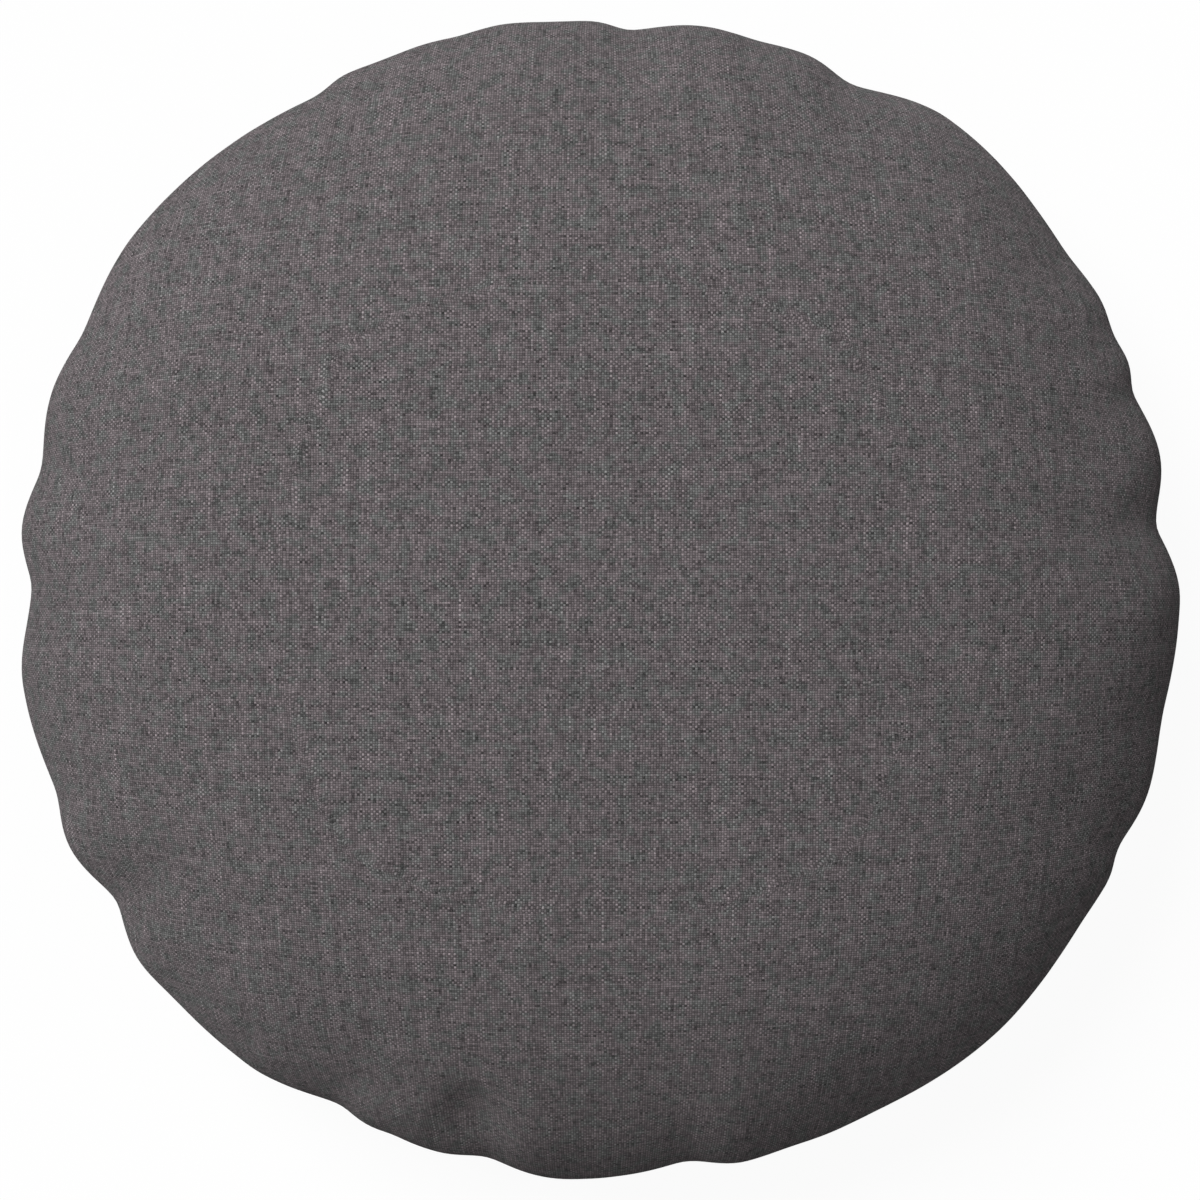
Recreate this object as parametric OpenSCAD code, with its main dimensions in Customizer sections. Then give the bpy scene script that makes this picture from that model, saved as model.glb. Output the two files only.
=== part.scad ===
// Round floor cushion: a removable cover with a coil zip under it, over a fibre-filled inner pad.
// Origin: centre of the underside, on the surface it rests on. +Z up, zip along X, millimetres.

/* [Cushion] */
// Finished diameter at the edge seam
cushion_d = 660; // [460:5:900]
// Height of the crown above the floor
cushion_h = 195; // [130:5:260]
// Height of the edge seam above the floor
seam_h = 80; // [50:1:100]
// Diameter of the patch that rests flat on the floor
flat_d = 410; // [300:5:440]

/* [Cover] */
// Thickness of the cover cloth
fabric_t = 1.0; // [0.6:0.1:1.6]
// Width of the turned-in seam allowance
allowance_w = 12; // [8:0.5:16]
// Depth of the overlock stitches on the raw edge
overlock_w = 5; // [3:0.5:7]
// Thickness of the sewing thread, as it lies in a seam
thread_t = 0.5; // [0.3:0.05:0.6]
// Distance of each seam's stitches from the fold
seam_inset = 2; // [1.5:0.1:3]

/* [Inner pad] */
// Thickness of the liner cloth
liner_t = 0.6; // [0.4:0.1:1.2]
// Width of the liner's seam allowance
liner_allowance_w = 8; // [5:0.5:12]
// Space between the cover and the inner pad
pad_gap = 1.5; // [1:0.1:4]

/* [Zip] */
// Length of the chain, from stop to stop
zip_l = 330; // [240:2:420]
// How far the zip is drawn up from the floor
zip_recess = 7; // [5.5:0.1:9]
// Width of the soft shoulder beside the zip
shoulder_w = 22; // [16:1:30]
// Flat cloth between the topstitching and the shoulder
shelf_margin = 3.5; // [2:0.5:6]
// Width of each tape
tape_w = 13.4; // [11:0.2:16]
// Thickness of the tape
tape_t = 0.6; // [0.4:0.05:0.9]
// Length of tape beyond each stop
tape_tail = 15; // [8:1:25]
// Width of tape that carries the coil
tape_lap = 1; // [0.8:0.1:1.6]
// Width of one row of the coil, from heel to tip
coil_w = 3; // [2.4:0.1:4]
// Height of the coil on its tape
coil_h = 1.8; // [1.4:0.1:2.2]
// Distance from one turn of the coil to the next
coil_pitch = 2; // [1.6:0.1:2.6]
// Width of one turn of the coil
coil_wire = 1; // [0.7:0.1:1.2]
// Width of the coil's heel, which is sewn to the tape
heel_w = 1.3; // [1:0.1:1.6]
// Half the channel between the two rows of the coil
coil_channel = 0.6; // [0.55:0.05:0.8]
// Length of each stop
stop_l = 3; // [2:0.5:5]

/* [Slider and pull] */
// Length of the slider
slider_l = 11; // [9:0.5:14]
// Thickness of the slider's plates
plate_t = 1.1; // [0.8:0.1:1.4]
// Thickness of the slider's side rails
rail_t = 0.7; // [0.5:0.1:1]
// Width of the post that parts the two rows
divider_w = 0.8; // [0.6:0.05:0.9]
// Length of the post
divider_l = 2.4; // [2:0.1:3]
// Width of the bridge that holds the pull
bridge_w = 2; // [1.6:0.1:2.4]
// Thickness of the bridge
bridge_t = 1.1; // [0.8:0.1:1.2]
// Length of each of the bridge's legs
leg_l = 1.2; // [0.9:0.1:1.4]
// Length of the pull, from its pivot to its tip
pull_l = 26; // [20:1:32]
// Width of the pull
pull_w = 6; // [5.6:0.1:7]
// Thickness of the pull and of the bar that it turns on
pull_t = 1.3; // [1:0.1:1.5]
// Diameter of the hole in the pull's tip
pull_hole_d = 2.4; // [1.6:0.1:3]

/* [Clearances] */
// Space between the layers of cloth and tape
layer_gap = 0.3; // [0.2:0.05:0.4]
// Space between the slider and what it slides on
slider_gap = 0.3; // [0.2:0.05:0.35]
// Space between the coil's heel and the slider's rail
rail_gap = 0.5; // [0.3:0.05:0.8]
// Space between the slider and the folded lips
lip_gap = 0.7; // [0.4:0.05:1.5]
// Space around the pull's bar in the bridge
pull_gap = 0.2; // [0.15:0.05:0.25]
// Space on each side of the bridge in the pull's eye
eye_gap = 0.7; // [0.4:0.1:1]
// Space between the bridge's end and the eye's end
eye_end_gap = 1.9; // [1.5:0.1:2.5]
// Space around a seam's thread in its cloth
thread_gap = 0.05; // [0.02:0.01:0.1]

/* [Stitches and label] */
// Length of one topstitch
stitch_l = 2.8; // [2:0.1:4]
// Distance from one topstitch to the next
stitch_pitch = 3.6; // [3:0.1:5]
// Distance of the topstitching from the lip
stitch_inset = 5; // [4:0.5:7]
// Width of the care label
label_w = 32; // [20:1:45]
// Length of the care label
label_l = 45; // [30:1:60]
// Thickness of the care label
label_t = 0.4; // [0.2:0.05:0.5]
// Place of the care label along the zip, from the middle
label_x = -60; // [-120:5:60]

/* [Hidden] */

$fn = 64;
// Straight facets along each curved half of the outline
arc_steps = 22;
// Straight facets on each soft shoulder beside the zip
shoulder_steps = 7;
// How far a cutting shape runs past the solid that it cuts
past = 1;
// Where a turned-in layer starts, as a share of the cloth's thickness: the two are one cloth
fold_start = 0.9;

edge_r = cushion_d / 2;
flat_r = flat_d / 2;
// Where the turned-in edge of the cover ends
raw_r = edge_r - fabric_t - allowance_w;

// The inner pad ends inside the cover's seam allowance and the stitches that bind it.
bound_t = 2 * fabric_t + 2 * thread_t;
pad_edge_r = raw_r - thread_t - pad_gap;
pad_base_z = fabric_t + pad_gap;
pad_top_z = cushion_h - fabric_t - pad_gap;
liner_raw_r = pad_edge_r - liner_t - liner_allowance_w;
fill_edge_r = liner_raw_r - layer_gap;
fill_inset = liner_t + layer_gap;

// The slider fits round both rows of the coil, and the lips stand clear of the slider.
slider_w = 2 * (coil_channel + coil_w + rail_gap + rail_t);
lip_y = slider_w / 2 + lip_gap;

// Heights of the zip's layers, from the outside of the lips upwards
hem_z = zip_recess + 2 * fabric_t;
tape_z = hem_z + layer_gap;
coil_z = tape_z - coil_h;
lower_plate_z = coil_z - slider_gap - plate_t;
upper_plate_z = tape_z + tape_t + slider_gap;
slider_top_z = upper_plate_z + plate_t;

// How far the bridge and the post stand back from the slider's ends
bridge_inset = 1;
divider_inset = 1.4;

// The pull's bar turns between the lower plate and the bridge.
pivot_z = lower_plate_z - pull_gap - pull_t / 2;
bridge_z = pivot_z - pull_t / 2 - pull_gap - bridge_t;

// Ends of the zip
chain_end = zip_l / 2;
slider_x = chain_end - slider_l / 2 - slider_gap;
opening_end = chain_end + 2 * stop_l;

// The soft valley that holds the zip: flat under the tapes, then a shoulder down to the floor
shelf_r = lip_y + stitch_inset + shelf_margin;
pull_room = 3;
valley_half = slider_x + pull_l + pull_room - shelf_r;

// The inner pad's own valley clears the tapes and the slider's upper plate.
tape_in_y = coil_channel + coil_w - tape_lap;
pad_shelf_r = tape_in_y + tape_w + 2 * pad_gap;
pad_recess_z = slider_top_z + pad_gap;

// Half the outline of a round soft body, from the crown down to the middle of the flat patch
function crown_arc(r, top_z) =
    [for (i = [0 : arc_steps]) let (a = 90 * (1 - i / arc_steps))
        [r * cos(a), seam_h + (top_z - seam_h) * sin(a)]];
function base_arc(r, base_z) =
    [for (i = [1 : arc_steps]) let (a = 90 * i / arc_steps)
        [flat_r + (r - flat_r) * cos(a), seam_h - (seam_h - base_z) * sin(a)]];
function soft_outline(r, top_z, base_z) = concat(crown_arc(r, top_z), base_arc(r, base_z), [[0, base_z]]);

function reversed(points) = [for (i = [len(points) - 1 : -1 : 0]) points[i]];
function eased(u) = u * u * (3 - 2 * u);

// Height of the valley's surface at a distance from the zip's centre line
function valley_z(d, shelf, top_z, base_z) =
    let (u = min(1, max(0, (d - shelf) / shoulder_w))) base_z + (top_z - base_z) * (1 - eased(u));

// Half the valley's section: everything under its surface
function valley_section(shelf, top_z, base_z) = concat(
    [[0, -past], [0, top_z]],
    [for (i = [0 : shoulder_steps])
        let (d = shelf + shoulder_w * i / shoulder_steps) [d, valley_z(d, shelf, top_z, base_z)]],
    [[shelf + shoulder_w, -past]]
);

module soft_body(r, top_z, base_z) {
    rotate_extrude() polygon(soft_outline(r, top_z, base_z));
}

// A shell of cloth above the seam, with its turned-in allowance
module crown_shell(r, top_z, t, allowance) {
    rotate_extrude() polygon(concat(
        crown_arc(r, top_z),
        [[r - t - allowance, seam_h], [r - t - allowance, seam_h + t], [r - t, seam_h + t]],
        reversed([for (p = crown_arc(r - t, top_z - t)) if (p[1] > seam_h + t) p])
    ));
}

// A straight valley with round ends
module valley(shelf, top_z, base_z) {
    section = valley_section(shelf, top_z, base_z);
    one_side = [for (p = section) if (p[0] > 0) p];
    rotate([90, 0, 90])
        linear_extrude(2 * valley_half, center = true)
            polygon(concat(one_side, reversed([for (p = one_side) [-p[0], p[1]]])));
    for (side = [-1, 1])
        translate([side * valley_half, 0, 0]) rotate_extrude() polygon(section);
}

// The cover's inside space, drawn in from its outer face by an inset
module cover_body(inset) {
    difference() {
        soft_body(edge_r - inset, cushion_h - inset, inset);
        valley(shelf_r, zip_recess + inset, inset);
    }
}

module pad_body(r, inset) {
    difference() {
        soft_body(r, pad_top_z - inset, pad_base_z + inset);
        valley(pad_shelf_r, pad_recess_z + inset, pad_base_z + inset);
    }
}

module ring(r_in, r_out, z_low, z_high) {
    rotate_extrude() translate([r_in, z_low]) square([r_out - r_in, z_high - z_low]);
}

// Everything under the edge seam, on one side of the centre line (side -1 is the front)
module lower_half(side) {
    translate([0, side * cushion_d / 2, (seam_h - past) / 2])
        cube([2 * cushion_d, cushion_d, seam_h + past], center = true);
}

// A strip along the centre line, from x_in to x_out on both sides of the middle and y_in to y_out on one
module strip(x_in, x_out, y_in, y_out, side) {
    for (end = (x_in > 0 ? [-1, 1] : [0]))
        translate([end * (x_in + x_out) / 2, side * (y_in + y_out) / 2, seam_h / 2])
            cube([end == 0 ? 2 * x_out : x_out - x_in, y_out - y_in, seam_h - 2 * fabric_t], center = true);
}

// Channel that the edge seam's thread lies in, half in each layer
module edge_thread_ring(gap) {
    r = edge_r - fabric_t - seam_inset;
    ring(r - thread_t - gap, r + gap, seam_h - thread_t / 2 - gap, seam_h + thread_t / 2 + gap);
}

// The thread that closes the centre seam, between its two pressed-open layers
module centre_thread_run(gap) {
    depth = 1.5 * fabric_t;
    half_t = thread_t / 2 + gap;
    intersection() {
        difference() {
            cover_body(depth - half_t);
            cover_body(depth + half_t);
        }
        strip(opening_end + fabric_t - gap, raw_r - seam_inset + gap, -half_t, half_t, 1);
    }
}

module cover_bottom_half(side) {
    intersection() {
        lower_half(side);
        difference() {
            union() {
                difference() {
                    cover_body(0);
                    cover_body(fabric_t);
                }
                ring(raw_r, edge_r - fabric_t / 2, seam_h - fabric_t, seam_h);
                intersection() {
                    difference() {
                        cover_body(fold_start * fabric_t);
                        cover_body(2 * fabric_t);
                    }
                    union() {
                        strip(0, opening_end, lip_y, lip_y + allowance_w - seam_inset, side);
                        strip(opening_end - past, raw_r + allowance_w / 2, 0, allowance_w, side);
                    }
                }
            }
            cube([2 * opening_end, 2 * lip_y, 2 * seam_h], center = true);
            edge_thread_ring(thread_gap);
            centre_thread_run(thread_gap);
        }
    }
}

module cover_top_panel() {
    color("#625f60") difference() {
        crown_shell(edge_r, cushion_h, fabric_t, allowance_w);
        edge_thread_ring(thread_gap);
    }
}

module cover_bottom_panel_front() {
    color("#5d5a5b") cover_bottom_half(-1);
}

module cover_bottom_panel_rear() {
    color("#5a5758") cover_bottom_half(1);
}

module edge_seam_thread() {
    color("#4b494a") edge_thread_ring(0);
}

// The overlock stitches wrap the raw edge of both layers.
module edge_overlock_thread() {
    cloth_t = fabric_t + thread_gap;
    color("#4f4c4e") difference() {
        ring(raw_r - thread_t, raw_r + overlock_w, seam_h - bound_t / 2, seam_h + bound_t / 2);
        ring(raw_r - thread_gap, raw_r + overlock_w + past, seam_h - cloth_t, seam_h + cloth_t);
    }
}

module centre_seam_thread() {
    color("#4b494a") centre_thread_run(0);
}

module zip_tape(side) {
    color("#3f3e40")
        translate([0, side * (tape_in_y + tape_w / 2), tape_z + tape_t / 2])
            cube([zip_l + 2 * tape_tail, tape_w, tape_t], center = true);
}

// One row of the coil: a heel along the tape, and a tip for each turn
module zip_coil(side) {
    turns = floor(zip_l / coil_pitch) - 1;
    turn_l = coil_w - heel_w / 2;
    shift = side * coil_pitch / 4;
    color("#4a494c") translate([0, side * coil_channel, tape_z - coil_h / 2]) union() {
        translate([0, side * turn_l, 0])
            cube([zip_l - coil_wire, heel_w, coil_h], center = true);
        for (i = [0 : turns - 1])
            translate([(i - (turns - 1) / 2) * coil_pitch + shift, side * turn_l / 2, 0])
                cube([coil_wire, turn_l, coil_h], center = true);
    }
}

// The slider stops against a clip on each row at the closed end.
module zip_top_stops() {
    color("#8d8c8a")
        for (side = [-1, 1])
            translate([chain_end + stop_l / 2, side * (coil_channel + coil_w / 2), tape_z - coil_h / 2])
                cube([stop_l, coil_w, coil_h], center = true);
}

// One clip holds both rows together at the other end.
module zip_bottom_stop() {
    color("#8d8c8a")
        translate([-chain_end - stop_l / 2, 0, tape_z - coil_h / 2])
            cube([stop_l, 2 * (coil_channel + coil_w), coil_h], center = true);
}

// A row of topstitches on the outer face, centred on the origin, along X
module stitch_row(length) {
    count = floor((length - stitch_l) / stitch_pitch) + 1;
    for (i = [0 : count - 1])
        translate([(i - (count - 1) / 2) * stitch_pitch, 0, zip_recess - thread_t / 2])
            cube([stitch_l, thread_t, thread_t], center = true);
}

module zip_topstitch_thread() {
    row_y = lip_y + stitch_inset;
    row_x = opening_end + seam_inset;
    color("#504d4f") {
        for (side = [-1, 1])
            translate([0, side * row_y, 0]) stitch_row(2 * row_x);
        for (side = [-1, 1])
            translate([side * row_x, 0, 0]) rotate(90) stitch_row(2 * row_y - 2 * stitch_l);
    }
}

// The plate of the slider, seen flat: two shoulders at the parting end and a straight tail
module slider_outline() {
    shoulder_d = slider_w / 2;
    notch_l = 1.5;
    tail_inset = 1;
    union() {
        for (side = [-1, 1])
            translate([(slider_l - shoulder_d) / 2, side * (slider_w - shoulder_d) / 2])
                circle(d = shoulder_d);
        square([slider_l - shoulder_d, slider_w], center = true);
        translate([0, shoulder_d / 2 - slider_w / 2])
            square([slider_l / 2 - notch_l, slider_w - shoulder_d]);
        translate([-slider_l / 2, tail_inset - slider_w / 2])
            square([shoulder_d / 2, slider_w - 2 * tail_inset]);
    }
}

module zip_slider() {
    rail_z = lower_plate_z + plate_t / 2;
    rail_h = tape_z - slider_gap - rail_z;
    span = slider_l - 2 * bridge_inset;
    color("#97979a") translate([slider_x, 0, 0]) union() {
        translate([0, 0, lower_plate_z]) linear_extrude(plate_t) slider_outline();
        translate([0, 0, upper_plate_z]) linear_extrude(plate_t) slider_outline();
        // Rails that press the two rows together
        for (side = [-1, 1])
            translate([0, side * (slider_w - rail_t) / 2, rail_z + rail_h / 2])
                cube([slider_l - slider_w / 2, rail_t, rail_h], center = true);
        // Post that parts the rows and joins the plates
        translate([slider_l / 2 - divider_inset - divider_l / 2, 0, (lower_plate_z + slider_top_z) / 2])
            cube([divider_l, divider_w, slider_top_z - lower_plate_z], center = true);
        // Bridge: two legs and a bar over the pull's pivot
        for (end = [-1, 1])
            translate([end * (span - leg_l) / 2, 0, (bridge_z + rail_z) / 2])
                cube([leg_l, bridge_w, rail_z - bridge_z], center = true);
        translate([0, 0, bridge_z + bridge_t / 2]) cube([span, bridge_w, bridge_t], center = true);
    }
}

// The pull lies back along the chain. Its eye goes round one leg of the bridge.
module zip_pull() {
    eye_w = bridge_w + 2 * eye_gap;
    eye_end = slider_l / 2 - bridge_inset + eye_end_gap;
    tip_r = pull_w / 2;
    color("#9b9b9e") translate([slider_x, 0, pivot_z]) union() {
        rotate([90, 0, 0]) cylinder(h = pull_w, d = pull_t, center = true);
        translate([0, 0, -pull_t / 2]) linear_extrude(pull_t) difference() {
            union() {
                translate([-pull_l + tip_r, -pull_w / 2]) square([pull_l - tip_r, pull_w]);
                translate([-pull_l + tip_r, 0]) circle(r = tip_r);
            }
            translate([-eye_end, -eye_w / 2]) square([eye_end + past, eye_w]);
            translate([-pull_l + tip_r, 0]) circle(d = pull_hole_d);
        }
    }
}

// The blank label hangs from the front tape's edge and follows the cloth's inner face.
module care_label() {
    d_start = lip_y + allowance_w - tape_lap;
    steps = 12;
    lift = fabric_t + layer_gap;
    path = [for (i = [0 : steps])
        let (d = d_start + label_l * i / steps) [d, valley_z(d, shelf_r, zip_recess, 0) + lift]];
    upper = [for (p = path) [p[0], p[1] + label_t]];
    color("#e4e2dc")
        translate([label_x, 0, 0])
            rotate([90, 0, 90])
                linear_extrude(label_w)
                    polygon([for (p = concat(path, reversed(upper))) [-p[0], p[1]]]);
}

// The liner's thread is thin enough to lie within its two layers.
module liner_thread_ring(gap) {
    r = pad_edge_r - liner_t - seam_inset;
    half_t = liner_t / 3;
    ring(r - thread_t - gap, r + gap, seam_h - half_t - gap, seam_h + half_t + gap);
}

module insert_top_panel() {
    color("#dcdad4") difference() {
        crown_shell(pad_edge_r, pad_top_z, liner_t, liner_allowance_w);
        liner_thread_ring(thread_gap);
    }
}

module insert_bottom_panel() {
    color("#d6d4ce") difference() {
        union() {
            difference() {
                pad_body(pad_edge_r, 0);
                pad_body(pad_edge_r - liner_t, liner_t);
                translate([0, 0, seam_h + cushion_h / 2])
                    cube([2 * cushion_d, 2 * cushion_d, cushion_h], center = true);
            }
            ring(liner_raw_r, pad_edge_r - liner_t / 2, seam_h - liner_t, seam_h);
        }
        liner_thread_ring(thread_gap);
    }
}

module insert_seam_thread() {
    color("#cfcdc8") liner_thread_ring(0);
}

module fibre_fill() {
    color("#f1f0ec") pad_body(fill_edge_r, fill_inset);
}

cover_top_panel();
cover_bottom_panel_front();
cover_bottom_panel_rear();
edge_seam_thread();
edge_overlock_thread();
centre_seam_thread();
zip_tape(-1);  // zip_tape_front
zip_tape(1);  // zip_tape_rear
zip_coil(-1);  // zip_coil_front
zip_coil(1);  // zip_coil_rear
zip_top_stops();
zip_bottom_stop();
zip_topstitch_thread();
zip_slider();
zip_pull();
care_label();
insert_top_panel();
insert_bottom_panel();
insert_seam_thread();
fibre_fill();
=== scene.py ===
"""Looks of a round floor cushion: sewn cloth panels, an underside zip and an inner pad, in a plain studio."""

import logging
import math
from dataclasses import dataclass, field
from enum import Enum
from typing import Any, Iterable, Sequence

import bmesh
import bpy
import numpy as np
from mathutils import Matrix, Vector


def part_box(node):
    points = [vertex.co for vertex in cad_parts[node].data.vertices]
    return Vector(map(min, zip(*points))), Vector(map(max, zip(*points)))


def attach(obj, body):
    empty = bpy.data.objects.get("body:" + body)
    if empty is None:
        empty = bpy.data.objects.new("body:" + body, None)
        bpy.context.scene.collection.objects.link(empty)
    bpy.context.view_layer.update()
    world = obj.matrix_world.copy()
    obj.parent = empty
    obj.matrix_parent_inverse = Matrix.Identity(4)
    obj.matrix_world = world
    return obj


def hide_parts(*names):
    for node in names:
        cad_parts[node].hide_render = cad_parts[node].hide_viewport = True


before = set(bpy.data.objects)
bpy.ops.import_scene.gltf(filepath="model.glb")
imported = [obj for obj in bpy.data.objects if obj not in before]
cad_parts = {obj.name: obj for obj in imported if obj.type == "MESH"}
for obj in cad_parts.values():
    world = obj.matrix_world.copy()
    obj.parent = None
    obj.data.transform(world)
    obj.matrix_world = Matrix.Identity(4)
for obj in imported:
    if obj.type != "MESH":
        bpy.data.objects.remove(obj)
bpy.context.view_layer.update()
LOG = logging.getLogger("floor_cushion")
MM = 0.001
Colour = tuple[float, float, float]


# --- Shader maths -------------------------------------------------------------------------------------------


class Wire:
    """One output of a material's node, which can be used in Python expressions."""

    def __init__(self, graph: "Graph", socket: bpy.types.NodeSocket) -> None:
        """Wrap a node's output socket.

        Args:
            graph: The graph that the socket belongs to.
            socket: The output socket.
        """
        self.graph = graph
        self.socket = socket

    def __add__(self, other: "Value") -> "Wire":
        """Return self + other."""
        return self.graph.maths("ADD", self, other)

    def __sub__(self, other: "Value") -> "Wire":
        """Return self - other."""
        return self.graph.maths("SUBTRACT", self, other)

    def __rsub__(self, other: "Value") -> "Wire":
        """Return other - self."""
        return self.graph.maths("SUBTRACT", other, self)

    def __mul__(self, other: "Value") -> "Wire":
        """Return self * other."""
        return self.graph.maths("MULTIPLY", self, other)

    def __truediv__(self, other: "Value") -> "Wire":
        """Return self / other."""
        return self.graph.maths("DIVIDE", self, other)

    __radd__ = __add__
    __rmul__ = __mul__

    def floor(self) -> "Wire":
        """Return the whole number below self."""
        return self.graph.maths("FLOOR", self)

    def fraction(self) -> "Wire":
        """Return what is left of self above its whole number."""
        return self.graph.maths("FRACT", self)

    def modulo(self, other: "Value") -> "Wire":
        """Return self modulo other, never negative."""
        return self.graph.maths("FLOORED_MODULO", self, other)

    def absolute(self) -> "Wire":
        """Return self without its sign."""
        return self.graph.maths("ABSOLUTE", self)

    def sine(self) -> "Wire":
        """Return the sine of self, in radians."""
        return self.graph.maths("SINE", self)

    def blend(self, low: "Value", high: "Value") -> "Wire":
        """Return low where self is 0 and high where it is 1."""
        return low + self * (high - low) if isinstance(low, Wire) else self * (high - low) + low

    def spread(self, low: float, high: float, to_low: float = 0.0, to_high: float = 1.0) -> "Wire":
        """Stretch the range low to high of self over to_low to to_high, and hold it inside that.

        Returns:
            The stretched value.
        """
        inputs = {"Value": self, "From Min": low, "From Max": high, "To Min": to_low, "To Max": to_high}
        return self.graph.node("ShaderNodeMapRange", {"clamp": True}, inputs)


Value = Wire | float


class Graph:
    """A material's node tree, filled in by one method for nodes and a few short forms of it."""

    def __init__(self, name: str) -> None:
        """Make an empty material.

        Args:
            name: The material's name.
        """
        self.material = bpy.data.materials.new(name)
        self.material.use_nodes = True
        self.tree = self.material.node_tree
        self.tree.nodes.clear()

    def node(self, kind: str, settings: dict[str, Any], inputs: dict[Any, Any], output: Any = 0) -> Wire:
        """Add a node.

        Args:
            kind: The node's type.
            settings: The node's own settings, which are set first.
            inputs: Values or wires for its inputs, by name or number.
            output: The output that is wanted, by name or number.

        Returns:
            The wanted output.
        """
        made = self.tree.nodes.new(kind)
        for key, value in settings.items():
            setattr(made, key, value)
        for key, value in inputs.items():
            if isinstance(value, Wire):
                self.tree.links.new(value.socket, made.inputs[key])
            else:
                made.inputs[key].default_value = value
        return Wire(self, made.outputs[output])

    def maths(self, operation: str, *values: Value) -> Wire:
        """Return the result of a Math node on the values."""
        return self.node("ShaderNodeMath", {"operation": operation}, dict(enumerate(values)))

    def vector(self, x: Value, y: Value, z: Value = 0.0) -> Wire:
        """Return a vector made of three values."""
        return self.node("ShaderNodeCombineXYZ", {}, {0: x, 1: y, 2: z})

    def grain(self, place: Sequence[Value], *sizes: float) -> Wire:
        """Return a place counted in grains, whose sizes are in millimetres along x, y and z."""
        return self.vector(*(at / (size * MM) for at, size in zip(place, sizes)))

    def noise(self, place: Wire, detail: float = 2.0, roughness: float = 0.5) -> Wire:
        """Return smooth noise, about 0.5, at a place."""
        inputs = {"Vector": place, "Scale": 1.0, "Detail": detail, "Roughness": roughness}
        return self.node("ShaderNodeTexNoise", {"noise_dimensions": "3D"}, inputs, "Fac")

    def speckle(self, place: Wire) -> Wire:
        """Return a value from 0 to 1 that has nothing to do with its neighbours."""
        return self.node("ShaderNodeTexWhiteNoise", {"noise_dimensions": "3D"}, {"Vector": place}, "Value")

    def mix(self, factor: Value, low: Any, high: Any, blend: str = "MIX") -> Wire:
        """Return a mix of two colours, each a wire or red, green and blue.

        Args:
            factor: 0 for the first colour and 1 for the second.
            low: The first colour.
            high: The second colour.
            blend: The node's way to mix.

        Returns:
            The mixed colour.
        """
        colours = [c if isinstance(c, Wire) else (*c, 1.0) for c in (low, high)]
        settings = {"data_type": "RGBA", "blend_type": blend}
        return self.node("ShaderNodeMix", settings, {0: factor, 6: colours[0], 7: colours[1]}, 2)

    def shade(self, colour: Wire, amount: Value) -> Wire:
        """Return a colour made lighter or darker by an amount."""
        return self.node("ShaderNodeVectorMath", {"operation": "SCALE"}, {0: colour, 3: amount})

    def place(self, source: str = "Object") -> tuple[Wire, Wire, Wire]:
        """Return x, y and z on the surface: from a UV map if source is "UV", else from the piece itself.

        Args:
            source: The coordinates to take.

        Returns:
            The three coordinates.
        """
        wire = self.node("ShaderNodeTexCoord", {}, {}, source)
        split = self.node("ShaderNodeSeparateXYZ", {}, {0: wire})
        outputs = split.socket.node.outputs
        return Wire(self, outputs[0]), Wire(self, outputs[1]), Wire(self, outputs[2])

    def bump(self, height: Wire, depth: float, strength: float = 1.0) -> Wire:
        """Return the normal of a surface raised by height, which is from 0 to 1 over a depth in metres."""
        return self.node("ShaderNodeBump", {}, {"Height": height, "Distance": depth, "Strength": strength})

    def finish(self, fixed: dict[str, Any], **wires: Wire) -> None:
        """Close the material with one Principled shader.

        Args:
            fixed: Values that are the same all over, by socket name.
            wires: What changes over the surface, by socket name with _ for a space.
        """
        inputs = {**fixed, **{name.replace("_", " "): wire for name, wire in wires.items()}}
        self.output(self.node("ShaderNodeBsdfPrincipled", {}, inputs))

    def output(self, shader: Wire) -> None:
        """Link a shader to the material's output."""
        made = self.tree.nodes.new("ShaderNodeOutputMaterial")
        self.tree.links.new(shader.socket, made.inputs["Surface"])


# --- Finishes -----------------------------------------------------------------------------------------------


class Finish:
    """What a surface is made of."""

    def make(self, name: str) -> bpy.types.Material:
        """Build the finish as a material.

        Args:
            name: The material's name.

        Returns:
            The material.
        """
        graph = Graph(name)
        self.paint(graph)
        return graph.material

    def paint(self, g: Graph) -> None:
        """Fill in the graph, which each finish does in its own way."""
        raise NotImplementedError


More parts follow.
